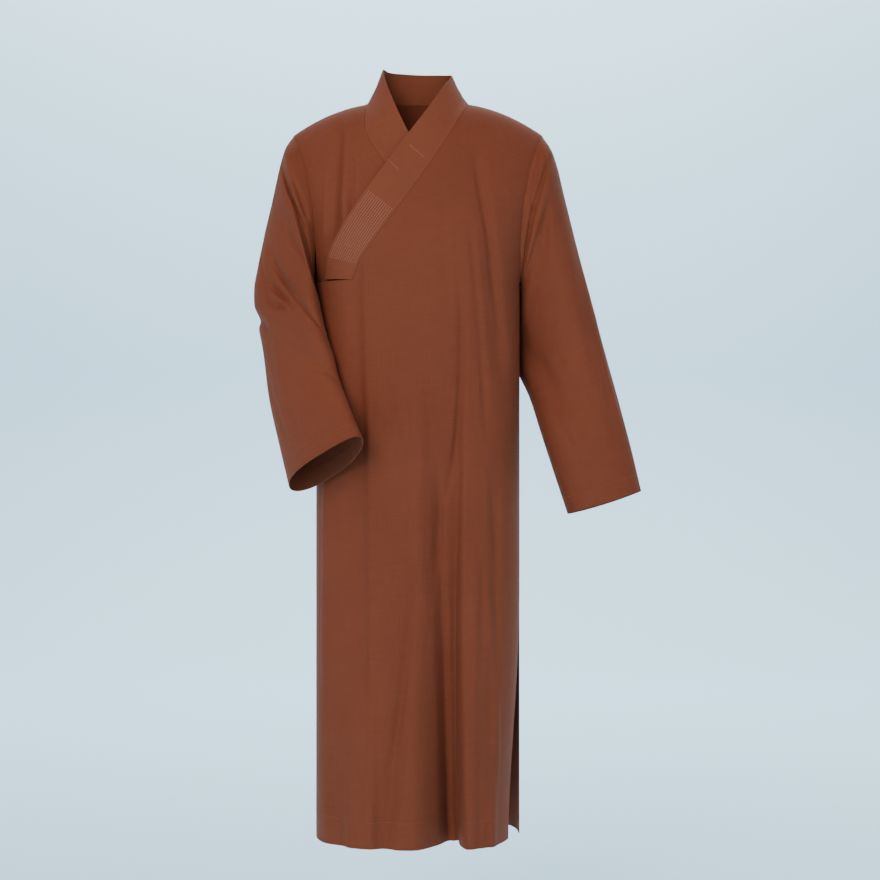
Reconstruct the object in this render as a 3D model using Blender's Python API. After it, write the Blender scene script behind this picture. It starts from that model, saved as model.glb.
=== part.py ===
"""A long crossed-collar robe of plain woven cloth, hollow and filled out as when it is worn.

Frame in metres: the origin is at the base of the neck, midway between the shoulders, where the
wearer carries the robe. +Z is up, the front faces -Y and the wearer's left is at +X.
Each cloth piece is a surface through rows worked out below, with its wall grown inwards. Where two
pieces meet they share their wall's direction, so that the seam between them is mitred and even.
"""

import math

import bpy
import numpy as np
from mathutils import kdtree

# Cloth walls and seams
CLOTH_WALL = 0.0015
BAND_WALL = 0.0018
SEAM_GAP = 0.0003
BAND_GAP = 0.0004
SEAM_REACH = 0.0016
LAP_DEPTH = 0.0052

# Heights of the robe
HEM_Z = -1.213
INNER_HEM_Z = -1.190
UNDERARM_Z = -0.300
SLIT_TOP_Z = -0.800

# Body form in plan: half width, half depths and how square its outline is
HALF_WIDTH = 0.169
SQUARENESS = 0.80
NECK_HALF_WIDTH = 0.085
FRONT_TOP_ROUND = 2.0
BACK_TOP_ROUND = 2.4
FRONT_NECK_RISE = 0.030
BACK_NECK_RISE = 0.050
BACK_NECK_DIP = 0.33
SHOULDER_SLOPE = 0.15
SHOULDER_BOW = 2.2
ARMHOLE_BULGE = 0.15

FRONT, BACK = -1, 1

# Depth of the hanging body: height, front half depth, back half depth
BODY_DEPTHS = (
    # z, front, back
    (-0.30, 0.120, 0.116),
    (-0.45, 0.121, 0.108),
    (-0.62, 0.124, 0.112),
    (-0.80, 0.128, 0.120),
    (-1.00, 0.131, 0.121),
    (-1.22, 0.133, 0.120),
)

# Front edge of the armhole seen from the front: share of the way up, distance from the middle
ARMHOLE_EDGE = (
    # up, x
    (0.00, 0.169),
    (0.20, 0.168),
    (0.45, 0.172),
    (0.70, 0.183),
    (0.88, 0.196),
    (1.00, 0.206),
)

# Soft folds of the front. Each runs down the cloth at x, from its top to its bottom height.
# Its hollow is deep metres below the form, and fades over a left and a right width.
# Slip carries the hollow sideways, so that the ridge beside it hangs over it.
FRONT_FOLDS = (
    # top_z, bottom_z, x_top, x_middle, x_bottom, deep_top, deep_bottom, left, right, slip
    (-0.36, -1.30, 0.074, 0.062, 0.070, 0.001, 0.088, 0.075, 0.016, 0.014),
    (-0.72, -1.30, 0.006, -0.030, -0.062, 0.002, 0.014, 0.032, 0.026, 0.000),
    (-0.52, -1.05, -0.112, -0.118, -0.122, 0.004, 0.010, 0.040, 0.036, 0.000),
    (-0.62, -1.05, 0.128, 0.126, 0.122, 0.003, 0.006, 0.016, 0.014, 0.000),
    (-0.10, -0.50, 0.100, 0.122, 0.142, 0.003, 0.007, 0.026, 0.018, 0.000),
    (-0.95, -1.30, -0.140, -0.134, -0.128, 0.002, 0.009, 0.020, 0.024, 0.000),
    (-0.80, -1.30, 0.112, 0.128, 0.120, -0.002, -0.006, 0.012, 0.016, 0.000),
)

# Soft folds of the underlap's shoulder, where it shows above the band
LAP_FOLDS = (
    # top_z, bottom_z, x_top, x_middle, x_bottom, deep_top, deep_bottom, left, right, slip
    (-0.04, -0.34, -0.127, -0.131, -0.140, 0.004, 0.009, 0.020, 0.009, 0.000),
    (-0.09, -0.26, -0.104, -0.106, -0.110, 0.001, 0.003, 0.010, 0.010, 0.000),
)

# Soft folds of the back, which hangs plainly from the shoulder blades
BACK_FOLDS = (
    # top_z, bottom_z, x_top, x_middle, x_bottom, deep_top, deep_bottom, left, right, slip
    (-0.18, -1.30, 0.058, 0.050, 0.046, 0.002, 0.030, 0.046, 0.034, 0.000),
    (-0.16, -1.30, -0.070, -0.060, -0.066, 0.002, 0.026, 0.034, 0.046, 0.000),
    (-0.55, -1.30, -0.008, -0.006, -0.004, 0.001, 0.012, 0.030, 0.030, 0.000),
    (-0.08, -0.55, 0.118, 0.128, 0.136, 0.004, 0.006, 0.022, 0.018, 0.000),
    (-0.08, -0.55, -0.118, -0.128, -0.136, 0.004, 0.006, 0.018, 0.022, 0.000),
    (-0.75, -1.30, 0.116, 0.114, 0.116, 0.002, 0.014, 0.026, 0.026, 0.000),
    (-0.72, -1.30, -0.122, -0.122, -0.120, 0.002, 0.014, 0.026, 0.026, 0.000),
)

# The collar band from its end at the wearer's right underarm, up the crossed front, round the
# neck and down to its hidden end. On the chest the depths come from the body form.
BAND_OUTER_FRONT = (
    # seam_x, seam_z, edge_x, edge_z
    (-0.1060, -0.2990, -0.1500, -0.2960),
    (-0.0920, -0.2680, -0.1430, -0.2520),
    (-0.0680, -0.2340, -0.1165, -0.2040),
    (-0.0400, -0.1960, -0.0870, -0.1600),
    (-0.0120, -0.1580, -0.0560, -0.1170),
    (0.0170, -0.1170, -0.0270, -0.0760),
    (0.0420, -0.0780, -0.0020, -0.0420),
)
BAND_NECK = (
    # seam_x, seam_y, seam_z, edge_x, edge_y, edge_z
    (0.0640, -0.0620, -0.0400, 0.0210, -0.0540, -0.0080),
    (0.0815, -0.0180, -0.0060, 0.0430, -0.0300, 0.0260),
    (0.0755, 0.0110, 0.0115, 0.0570, 0.0040, 0.0490),
    (0.0560, 0.0460, 0.0128, 0.0450, 0.0380, 0.0570),
    (0.0000, 0.0650, 0.0125, 0.0000, 0.0560, 0.0610),
    (-0.0560, 0.0460, 0.0128, -0.0460, 0.0380, 0.0610),
    (-0.0790, 0.0110, 0.0060, -0.0590, 0.0020, 0.0590),
    (-0.0860, -0.0180, -0.0080, -0.0520, -0.0270, 0.0300),
)
BAND_INNER_FRONT = (
    # seam_x, seam_z, edge_x, edge_z
    (-0.0860, -0.0450, -0.0340, -0.0150),
    (-0.0740, -0.0770, -0.0150, -0.0560),
    (-0.0540, -0.1080, 0.0060, -0.0880),
    (-0.0280, -0.1460, 0.0220, -0.1180),
    (0.0000, -0.1830, 0.0460, -0.1530),
    (0.0260, -0.2180, 0.0720, -0.1880),
)
UNDERLAP_EDGE = (
    # x, z: where the underlap's free edge runs below the band
    (0.0260, -0.2180),
    (0.0340, -0.3000),
    (0.0300, -0.5000),
    (0.0100, -0.8000),
    (-0.0200, -1.2200),
)

# Sleeves by sections from armhole to cuff: the outer and inner sides, and how far the front
# and back walls stand from the middle between them. Sag lets the walls hang lower, and tilt
# lifts the front wall and drops the back one.
LEFT_SLEEVE = (
    # outer x, y, z, inner x, y, z, front, back, sag, tilt
    (0.2190, 0.002, -0.071, 0.1710, 0.006, -0.311, 0.072, 0.069, 0.000, 0.000),
    (0.2310, 0.004, -0.101, 0.1680, 0.022, -0.325, 0.074, 0.061, 0.000, 0.000),
    (0.2450, 0.006, -0.160, 0.1640, 0.038, -0.352, 0.076, 0.050, 0.000, 0.000),
    (0.2670, 0.004, -0.250, 0.1600, 0.050, -0.392, 0.074, 0.044, 0.002, 0.000),
    (0.2900, -0.002, -0.333, 0.1650, 0.042, -0.436, 0.068, 0.042, 0.003, 0.000),
    (0.3120, -0.006, -0.416, 0.1860, 0.014, -0.486, 0.058, 0.045, 0.004, 0.001),
    (0.3330, -0.016, -0.496, 0.2040, -0.018, -0.547, 0.050, 0.048, 0.004, 0.002),
    (0.3520, -0.026, -0.572, 0.2260, -0.028, -0.616, 0.048, 0.046, 0.003, 0.003),
    (0.3680, -0.034, -0.643, 0.2470, -0.036, -0.680, 0.046, 0.044, 0.002, 0.004),
)
RIGHT_SLEEVE = (
    # outer x, y, z, inner x, y, z, front, back, sag, tilt
    (-0.2185, 0.002, -0.070, -0.1720, -0.012, -0.311, 0.070, 0.071, 0.000, 0.000),
    (-0.2290, 0.004, -0.100, -0.1660, -0.034, -0.327, 0.064, 0.078, 0.000, 0.000),
    (-0.2420, 0.008, -0.155, -0.1560, -0.054, -0.350, 0.056, 0.084, 0.000, 0.000),
    (-0.2570, 0.008, -0.220, -0.1490, -0.068, -0.374, 0.052, 0.083, 0.000, 0.001),
    (-0.2680, 0.006, -0.280, -0.1420, -0.078, -0.400, 0.048, 0.070, 0.000, 0.003),
    (-0.2700, 0.001, -0.345, -0.1340, -0.098, -0.426, 0.044, 0.058, 0.000, 0.006),
    (-0.2570, -0.012, -0.412, -0.1260, -0.112, -0.456, 0.042, 0.046, 0.001, 0.010),
    (-0.2440, -0.042, -0.492, -0.1130, -0.140, -0.490, 0.042, 0.045, 0.003, 0.016),
    (-0.2260, -0.072, -0.562, -0.1000, -0.162, -0.522, 0.044, 0.047, 0.004, 0.020),
    (-0.2070, -0.100, -0.632, -0.0830, -0.182, -0.560, 0.044, 0.048, 0.004, 0.023),
)

# Sleeve folds: from one place to another, by share of the length and degrees round the sleeve
# (0 outer side, 90 front, 180 inner side, 270 back). Width and depth in metres.
LEFT_SLEEVE_FOLDS = (
    # along_1, round_1, along_2, round_2, width, deep
    (0.10, 62, 0.26, 118, 0.014, 0.007),
    (0.38, 28, 0.80, 40, 0.014, 0.004),
    (0.34, 125, 0.62, 118, 0.020, 0.008),
    (0.05, 300, 0.30, 240, 0.014, 0.007),
    (0.45, 250, 0.70, 300, 0.016, 0.006),
)
RIGHT_SLEEVE_FOLDS = (
    # along_1, round_1, along_2, round_2, width, deep
    (0.09, 28, 0.36, 118, 0.009, 0.008),
    (0.14, 88, 0.28, 118, 0.008, 0.005),
    (0.18, 146, 0.50, 138, 0.034, -0.026),
    (0.44, 46, 0.60, 140, 0.014, 0.011),
    (0.46, 30, 0.56, 84, 0.010, 0.007),
    (0.55, 352, 0.57, 52, 0.008, 0.007),
    (0.16, 300, 0.34, 262, 0.014, 0.005),
    (0.48, 290, 0.60, 230, 0.014, 0.008),
)
SLEEVE_SQUARENESS = 0.86
SOFTENING = 2
BODY_CLEARANCE = 0.0016

# How finely each piece is divided
BODY_ROWS = 16
CHEST_ROWS = 12
FRONT_SIDE_COLUMNS = 6
FRONT_COLUMNS = 30
BACK_SIDE_COLUMNS = 8
NECK_COLUMNS = 10
UNDERLAP_COLUMNS = 12
SLEEVE_COLUMNS = 2 * CHEST_ROWS
SLEEVE_ROWS = 22
BAND_COLUMNS = 4
FINE_STEPS = 240

ROBE_BROWN = (0.205, 0.062, 0.030, 1.0)
BAND_BROWN = (0.215, 0.068, 0.033, 1.0)


def smooth_step(value):
    """0 below 0, 1 above 1, and an even rise between."""
    value = np.clip(value, 0.0, 1.0)
    return value * value * (3 - 2 * value)


def signed_power(value, power):
    return np.sign(value) * np.abs(value) ** power


def column_at(table, column, where):
    """A column of a table, read at the first column's value by straight steps."""
    rows = sorted(table)
    return np.interp(where, [row[0] for row in rows], [row[column] for row in rows])


def smooth_line(points, count):
    """Evenly spaced stations on a smooth curve through the points."""
    points = np.array(points, float)
    before = 2 * points[0] - points[1]
    after = 2 * points[-1] - points[-2]
    padded = np.concatenate([before[None], points, after[None]])
    where = np.linspace(0, len(points) - 1, count)
    piece = np.minimum(where.astype(int), len(points) - 2)
    t = (where - piece).reshape((-1,) + (1,) * (points.ndim - 1))
    p0, p1, p2, p3 = (padded[piece + k] for k in range(4))
    return 0.5 * (
        2 * p1
        + (p2 - p0) * t
        + (2 * p0 - 5 * p1 + 4 * p2 - p3) * t**2
        + (3 * p1 - p0 - 3 * p2 + p3) * t**3
    )


def top_line(x, side):
    """Height of the shoulder line over x, and of the neck slope inside the collar."""
    out = np.maximum(np.abs(x) - NECK_HALF_WIDTH, 0.0)
    shoulder = -SHOULDER_SLOPE * out - SHOULDER_BOW * out**2
    rise = FRONT_NECK_RISE if side == FRONT else BACK_NECK_RISE
    inside = np.minimum(np.abs(x) / NECK_HALF_WIDTH, 1.0)
    return shoulder + rise * (1 - inside**2)


def top_round(side):
    return FRONT_TOP_ROUND if side == FRONT else BACK_TOP_ROUND


def half_depth(z, side):
    return column_at(BODY_DEPTHS, 1 if side == FRONT else 2, z)


def chest_limits(level):
    """Half width of the form and of the cloth at a chest level from 1 (underarm) to 2 (top)."""
    rise = (level - 1) * math.pi / 2
    share = math.sin(rise)
    reach = float(column_at(ARMHOLE_EDGE, 1, share))
    return reach * (1 + ARMHOLE_BULGE * math.sin(2 * rise)), reach


def across_of(x, level):
    """The place across the cloth, from -1 to 1, that lies at x on this level."""
    form, reach = (HALF_WIDTH, HALF_WIDTH) if level <= 1 else chest_limits(level)
    turn = math.asin(min(1.0, (abs(x) / form) ** (1 / SQUARENESS)))
    most = math.asin(min(1.0, (reach / form) ** (1 / SQUARENESS)))
    return math.copysign(turn / most, x)


def level_of(x, z, side):
    """The chest level, from 1 to 2, on which the form passes through x and z."""
    share = (z - UNDERARM_Z) / (top_line(x, side) - UNDERARM_Z)
    share = min(max(float(share), 0.0), 1.0)
    return 1 + math.asin(share ** (top_round(side) / 2)) / (math.pi / 2)


def form_points(across, levels, side):
    """Points of the plain body form. Levels run 0 hem, 1 underarm, 2 shoulder line."""
    across, levels = np.broadcast_arrays(np.asarray(across, float), np.asarray(levels, float))
    points = np.empty(across.shape + (3,))
    for index in np.ndindex(across.shape):
        level, place = float(levels[index]), float(across[index])
        if level <= 1:
            z = HEM_Z + level * (UNDERARM_Z - HEM_Z)
            turn = place * math.pi / 2
            width, depth, lift = HALF_WIDTH, float(half_depth(z, side)), 1.0
        else:
            rise = (level - 1) * math.pi / 2
            width, reach = chest_limits(level)
            turn = place * math.asin(min(1.0, (reach / width) ** (1 / SQUARENESS)))
            depth = float(half_depth(UNDERARM_Z, side))
            lift = math.cos(rise) ** (2 / top_round(side)) if level < 2 else 0.0
        x = width * float(signed_power(math.sin(turn), SQUARENESS))
        y = side * depth * max(math.cos(turn), 0.0) ** SQUARENESS * lift
        if level > 1:
            share = math.sin(rise) ** (2 / top_round(side))
            z = UNDERARM_Z + share * (float(top_line(x, side)) - UNDERARM_Z)
        points[index] = x, y, z
    return points


def outward(points, side):
    """Unit directions out of the body form in plan, at its points."""
    depth = half_depth(points[..., 2], side)
    direction = np.zeros_like(points)
    direction[..., 0] = signed_power(points[..., 0] / HALF_WIDTH, 1.5) / HALF_WIDTH
    direction[..., 1] = signed_power(points[..., 1] / depth, 1.5) / depth
    length = np.linalg.norm(direction, axis=-1, keepdims=True)
    front = np.zeros_like(points)
    front[..., 1] = side
    return np.where(length > 1e-6, direction / np.maximum(length, 1e-6), front)


def fold_bump(distance, left, right):
    """1 in the hollow of a fold, falling to 0 at its left and right widths."""
    share = np.where(distance < 0, -distance / left, distance / right)
    return np.where(share < 1, 0.5 + 0.5 * np.cos(np.pi * np.minimum(share, 1.0)), 0.0)


def folded(points, folds, side):
    """The points of the form with the soft folds of a table pressed in."""
    x, z = points[..., 0], points[..., 2]
    inward = -outward(points, side)
    moved = points.copy()
    for top, bottom, x_top, x_middle, x_bottom, deep_top, deep_bottom, left, right, slip in folds:
        down = np.clip((top - z) / (top - bottom), 0.0, 1.0)
        bow = 2 * (x_top + x_bottom) - 4 * x_middle
        path = x_top + (x_bottom - x_top - bow) * down + bow * down**2
        fade = smooth_step((top - z) / 0.10 + 0.5) * smooth_step((z - bottom) / 0.10)
        deep = (deep_top + (deep_bottom - deep_top) * down**1.6) * fade
        bump = fold_bump(x - path, left, right)
        moved += inward * (deep * bump)[..., None]
        if slip:
            moved[..., 0] += slip * down**2 * bump**2
    return moved


def even_steps(fine, points, count):
    """Values of fine that divide the line through the points into even lengths."""
    run = np.concatenate([[0.0], np.cumsum(np.linalg.norm(np.diff(points, axis=0), axis=1))])
    return np.interp(np.linspace(0, run[-1], count + 1), run, fine)


def chest_levels():
    """Levels of the chest rows, even along the front edge of the armhole."""
    fine = np.linspace(1, 2, FINE_STEPS + 1)
    return even_steps(fine, form_points(1.0, fine, FRONT), CHEST_ROWS)


def even_places(start, end, level, count, folds, side):
    """Places across one row that divide the folded cloth into even lengths."""
    fine = np.linspace(start, end, FINE_STEPS + 1)
    return even_steps(fine, folded(form_points(fine, level, side), folds, side), count)


def seam_clear(points, side):
    """Keeps the front and the back half a seam apart at the shoulders and the sides."""
    points[..., 1] = side * np.fmax(side * points[..., 1], SEAM_GAP / 2)
    return points


def slit_places(level):
    """How far the front reaches towards the side seams: less below the tops of the slits."""
    z = HEM_Z + min(level, 1.0) * (UNDERARM_Z - HEM_Z)
    down = float(smooth_step((SLIT_TOP_Z - z) / (SLIT_TOP_Z - HEM_Z)))
    return -0.992 + 0.030 * down, 1.0 - 0.150 * down


def slit_pull(points, level):
    """Draws the front's left edge inwards where the side slit opens."""
    z = HEM_Z + min(level, 1.0) * (UNDERARM_Z - HEM_Z)
    down = float(smooth_step((SLIT_TOP_Z - z) / (SLIT_TOP_Z - HEM_Z)))
    near = smooth_step((points[..., 0] - 0.105) / 0.06)
    points[..., 0] -= 0.016 * down * near
    return points


def seam_of_band(table):
    """The band's seam on the chest as a smooth line of x and z."""
    return smooth_line([row[:2] for row in table], 60)


def seam_across(seam, level):
    """Where a chest level meets a seam line, as a place across the cloth."""
    levels = [level_of(x, z, FRONT) for x, z in seam]
    order = np.argsort(levels)
    x = float(np.interp(level, np.array(levels)[order], seam[order, 0]))
    return across_of(x, level)


def outer_front_rows():
    """The wearer's left front, which crosses to the right side. Missing corners are NaN."""
    seam = seam_of_band(BAND_OUTER_FRONT + ((0.0640, -0.0400), (NECK_HALF_WIDTH, 0.0)))
    split = across_of(BAND_OUTER_FRONT[0][0], 1.0)
    rows = []
    for level in np.linspace(0, 1, BODY_ROWS + 1):
        right, left = slit_places(level)
        blend = float(smooth_step((1 - level) / 0.35))
        side = even_places(right, split, level, FRONT_SIDE_COLUMNS, FRONT_FOLDS, FRONT)
        straight = np.linspace(split, left, FRONT_COLUMNS + 1)
        even = even_places(split, left, level, FRONT_COLUMNS, FRONT_FOLDS, FRONT)
        places = np.concatenate([side[:-1], straight + (even - straight) * blend])
        row = folded(form_points(places, level, FRONT), FRONT_FOLDS, FRONT)
        rows.append(slit_pull(row, level))
    for level in chest_levels()[1:]:
        start = seam_across(seam, level)
        places = np.linspace(start, 1, FRONT_COLUMNS + 1)
        row = folded(form_points(places, level, FRONT), FRONT_FOLDS, FRONT)
        missing = np.full((FRONT_SIDE_COLUMNS, 3), np.nan)
        rows.append(np.vstack([missing, row]))
    return seam_clear(np.array(rows), FRONT)


def lap_sink(points):
    """How far the underlap lies below the outer front: nothing near its own armhole."""
    edge = smooth_line([(row[2], row[3]) for row in BAND_OUTER_FRONT], 60)
    near = np.interp(points[..., 2], edge[:, 1], edge[:, 0])
    under = smooth_step((points[..., 0] - near + 0.034) / 0.030)
    below = smooth_step((UNDERARM_Z + 0.02 - points[..., 2]) / 0.03)
    past_seam = smooth_step((points[..., 0] + HALF_WIDTH - 0.0004) / 0.003)
    return LAP_DEPTH * np.maximum(under, below * past_seam)


def underlap_rows():
    """The wearer's right front, which runs on under the crossed one."""
    seam_table = [row[:2] for row in BAND_INNER_FRONT]
    seam = smooth_line([(-NECK_HALF_WIDTH, 0.0)] + seam_table + [UNDERLAP_EDGE[1]], 80)
    folds = FRONT_FOLDS + LAP_FOLDS
    rows = []
    low = (INNER_HEM_Z - HEM_Z) / (UNDERARM_Z - HEM_Z)
    for level in np.linspace(low, 1, BODY_ROWS - 2):
        z = HEM_Z + level * (UNDERARM_Z - HEM_Z)
        x = float(column_at([(z, x) for x, z in UNDERLAP_EDGE], 1, z))
        places = np.linspace(-0.94, across_of(x, level), UNDERLAP_COLUMNS)
        places = np.concatenate([[-1.0], places])
        rows.append(folded(form_points(places, level, FRONT), folds, FRONT))
    for level in chest_levels()[1:]:
        first = -0.94 + 0.03 * (level - 1)
        places = np.linspace(first, seam_across(seam, level), UNDERLAP_COLUMNS)
        places = np.concatenate([[-1.0], places])
        rows.append(folded(form_points(places, level, FRONT), folds, FRONT))
    rows = np.array(rows)
    return seam_clear(rows - outward(rows, FRONT) * lap_sink(rows)[..., None], FRONT)


def back_rows():
    """The back, cut round the neck at its top."""
    neck = across_of(NECK_HALF_WIDTH, 2.0)
    across = np.concatenate(
        [
            np.linspace(-1, -neck, BACK_SIDE_COLUMNS + 1)[:-1],
            -neck * np.cos(np.linspace(0, math.pi, NECK_COLUMNS + 1)),
            np.linspace(neck, 1, BACK_SIDE_COLUMNS + 1)[1:],
        ]
    )
    dip = BACK_NECK_DIP * np.sqrt(np.clip(1 - (across / neck) ** 2, 0, 1))
    rows = [np.full_like(across, level) for level in np.linspace(0, 1, BODY_ROWS + 1)]
    for level in chest_levels()[1:]:
        rows.append(1 + (level - 1) * (1 - dip))
    points = [folded(form_points(across, row, BACK), BACK_FOLDS, BACK) for row in rows]
    return seam_clear(np.array(points), BACK)


def armhole_ring(hand):
    """The armhole loop from the shoulder tip down the front and up the back."""
    levels = chest_levels()
    front = [form_points(hand, level, FRONT) for level in levels[::-1]]
    back = [form_points(hand, level, BACK) for level in levels[1:-1]]
    return np.array(front + back)


def section_ring(row):
    """One sleeve section: a soft ring through its outer, front, inner and back sides."""
    outer, inner = np.array(row[0:3]), np.array(row[3:6])
    front, back, sag, tilt = row[6:10]
    middle = (outer + inner) / 2
    half = (outer - inner) / 2
    down = np.array((0.0, 0.0, -1.0))
    deep = np.cross(half * (1.0, 0.0, 1.0), down)
    deep /= np.linalg.norm(deep)
    if deep[1] > 0:
        deep = -deep

    def ring(turn):
        along_half = signed_power(np.cos(turn), SLEEVE_SQUARENESS)[:, None]
        along_deep = signed_power(np.sin(turn), SLEEVE_SQUARENESS)[:, None]
        reach = np.where(along_deep > 0, front, back)
        lowered = sag * (1 - along_half**2) - tilt * along_deep
        return middle + half * along_half + deep * along_deep * reach + down * lowered

    fine = np.linspace(0, np.pi, FINE_STEPS + 1)
    before = even_steps(fine, ring(fine), SLEEVE_COLUMNS // 2)
    after = even_steps(fine + np.pi, ring(fine + np.pi), SLEEVE_COLUMNS // 2)
    return ring(np.concatenate([before, after[1:-1]]))


def clear_of_body(points):
    """Presses a sleeve flat against the hanging body where it would pass through it."""
    depth = np.where(
        points[..., 1] < 0, half_depth(points[..., 2], FRONT), half_depth(points[..., 2], BACK)
    )
    power = 2 / SQUARENESS
    width, depth = HALF_WIDTH + BODY_CLEARANCE, depth + BODY_CLEARANCE
    inside = (np.abs(points[..., 0]) / width) ** power + (np.abs(points[..., 1]) / depth) ** power
    push = np.maximum(1.0, 1 / np.maximum(inside, 0.05) ** (1 / power))
    below = smooth_step((UNDERARM_Z + 0.03 - points[..., 2]) / 0.05)
    push = 1 + (push - 1) * below
    moved = points.copy()
    moved[..., 0] *= push
    moved[..., 1] *= push
    return moved


def sleeve_rows(sections, folds, hand):
    """A sleeve from the armhole seam to its cuff, as rows of closed rings."""
    rings = [armhole_ring(hand)] + [section_ring(row) for row in sections]
    rings[0][:, 0] += hand * SEAM_GAP
    rows = smooth_line(rings, SLEEVE_ROWS + 1)
    lengths = np.linalg.norm(np.diff(rows.mean(axis=1), axis=0), axis=1)
    along = np.concatenate([[0.0], np.cumsum(lengths)]) / lengths.sum()
    round_sleeve = np.arange(SLEEVE_COLUMNS) * 360 / SLEEVE_COLUMNS
    centre = rows.mean(axis=1, keepdims=True)
    out = rows - centre
    girth = np.linalg.norm(out, axis=2).mean()
    out /= np.linalg.norm(out, axis=2, keepdims=True)
    reach = lengths.sum()
    for along_1, round_1, along_2, round_2, width, deep in folds:
        turn = (round_2 - round_1 + 180) % 360 - 180
        place = np.stack(
            np.broadcast_arrays(
                (along[:, None] - along_1) * reach,
                np.radians((round_sleeve[None, :] - round_1 + 180) % 360 - 180) * girth,
            ),
            axis=-1,
        )
        line = np.array([(along_2 - along_1) * reach, math.radians(turn) * girth])
        share = np.clip(place @ line / (line @ line), 0, 1)
        gap = np.linalg.norm(place - share[..., None] * line, axis=-1)
        taper = np.sin(np.pi * (0.15 + 0.7 * share))
        start = smooth_step(along / 0.06)[:, None]
        rows = rows - out * (deep * taper * np.exp(-((gap / width) ** 2)) * start)[..., None]
    rows = clear_of_body(rows)
    # Only the underarm is softened: the shoulder keeps its line.
    below = smooth_step((np.minimum(round_sleeve, 360 - round_sleeve) - 50) / 50)
    near = (1 - smooth_step((along - 0.35) / 0.15))[:, None] * below
    for _ in range(SOFTENING):
        beside = (np.roll(rows, 1, axis=1) + np.roll(rows, -1, axis=1)) / 2
        soft = rows.copy()
        soft[1:-1] = rows[1:-1] / 2 + (rows[:-2] + rows[2:]) / 8 + beside[1:-1] / 4
        rows = rows + (soft - rows) * near[..., None]
    return clear_of_body(rows)


def neckline(outer_front, back, underlap):
    """The neck edge of the panels, from the outer front's underarm round the neck and down."""
    chest = slice(BODY_ROWS, BODY_ROWS + CHEST_ROWS + 1)
    neck = slice(BACK_SIDE_COLUMNS, BACK_SIDE_COLUMNS + NECK_COLUMNS + 1)
    down_left = outer_front[chest, FRONT_SIDE_COLUMNS]
    round_neck = back[-1, neck][::-1]
    down_right = underlap[-CHEST_ROWS - 1 :, -1][::-1]
    return np.vstack([down_left, round_neck[1:-1], down_right])


def band_control(row, lift):
    """One row of points across the band where it lies on the chest."""
    seam_x, seam_z, edge_x, edge_z = row
    points = []
    for share in np.linspace(0, 1, BAND_COLUMNS + 1):
        x, z = seam_x + (edge_x - seam_x) * share, seam_z + (edge_z - seam_z) * share
        level = level_of(x, z, FRONT) if z > UNDERARM_Z else 1.0
        point = form_points(across_of(x, level), level, FRONT)
        point[2] = z
        points.append(point + outward(point, FRONT) * lift)
    return np.array(points)


def band_rows(line):
    """The collar band, sewn along the panels' neck edge, with stations at its corners."""
    proud = BAND_WALL - CLOTH_WALL
    controls = [band_control(row, proud) for row in BAND_OUTER_FRONT]
    for row in BAND_NECK:
        seam, edge = np.array(row[:3]), np.array(row[3:])
        shares = np.linspace(0, 1, BAND_COLUMNS + 1)[:, None]
        controls.append(seam + (edge - seam) * shares)
    for index, row in enumerate(BAND_INNER_FRONT):
        sink = LAP_DEPTH * float(smooth_step((index + 0.4) / 1.4))
        controls.append(band_control(row, -sink))
    dense = smooth_line(controls, 600)
    run = np.concatenate([[0.0], np.cumsum(np.linalg.norm(np.diff(line, axis=0), axis=1))])
    # Where each smooth row meets the neck edge, measured along the edge.
    places = []
    for point in dense[:, 0]:
        step = np.diff(line, axis=0)
        share = np.einsum("ij,ij->i", point - line[:-1], step) / np.einsum("ij,ij->i", step, step)
        share = np.clip(share, 0, 1)
        gap = np.linalg.norm(line[:-1] + step * share[:, None] - point, axis=1)
        best = int(np.argmin(gap))
        places.append(run[best] + share[best] * (run[best + 1] - run[best]))
    places = np.maximum.accumulate(np.array(places) + np.arange(len(places)) * 1e-7)
    stations = run[run <= places[-1]]
    rows = []
    for station in stations:
        flat = dense.reshape(len(dense), -1)
        rows.append([np.interp(station, places, column) for column in flat.T])
    rows = np.array(rows).reshape(len(stations), BAND_COLUMNS + 1, 3)
    seam = line[: len(stations)]
    across = rows[:, 1] - seam
    across /= np.linalg.norm(across, axis=1, keepdims=True)
    rows[:, 0] = seam + across * BAND_GAP
    return rows


def cloth_material(name, colour):
    material = bpy.data.materials.new(name)
    material.use_nodes = True
    shader = material.node_tree.nodes["Principled BSDF"]
    shader.inputs["Base Color"].default_value = colour
    shader.inputs["Roughness"].default_value = 0.8
    shader.inputs["Metallic"].default_value = 0.0
    return material


def faces_of(rows, closed, flip):
    """Corner numbers of each four-sided face of a grid, leaving out missing corners."""
    count = rows.shape[1]
    there = ~np.isnan(rows[..., 0])
    faces = []
    for row in range(rows.shape[0] - 1):
        for column in range(count if closed else count - 1):
            beside = (column + 1) % count
            keys = [(row, column), (row, beside), (row + 1, beside), (row + 1, column)]
            if all(there[key] for key in keys):
                face = [r * count + c for r, c in keys]
                faces.append(face[::-1] if flip else face)
    return np.array(faces)


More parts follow.
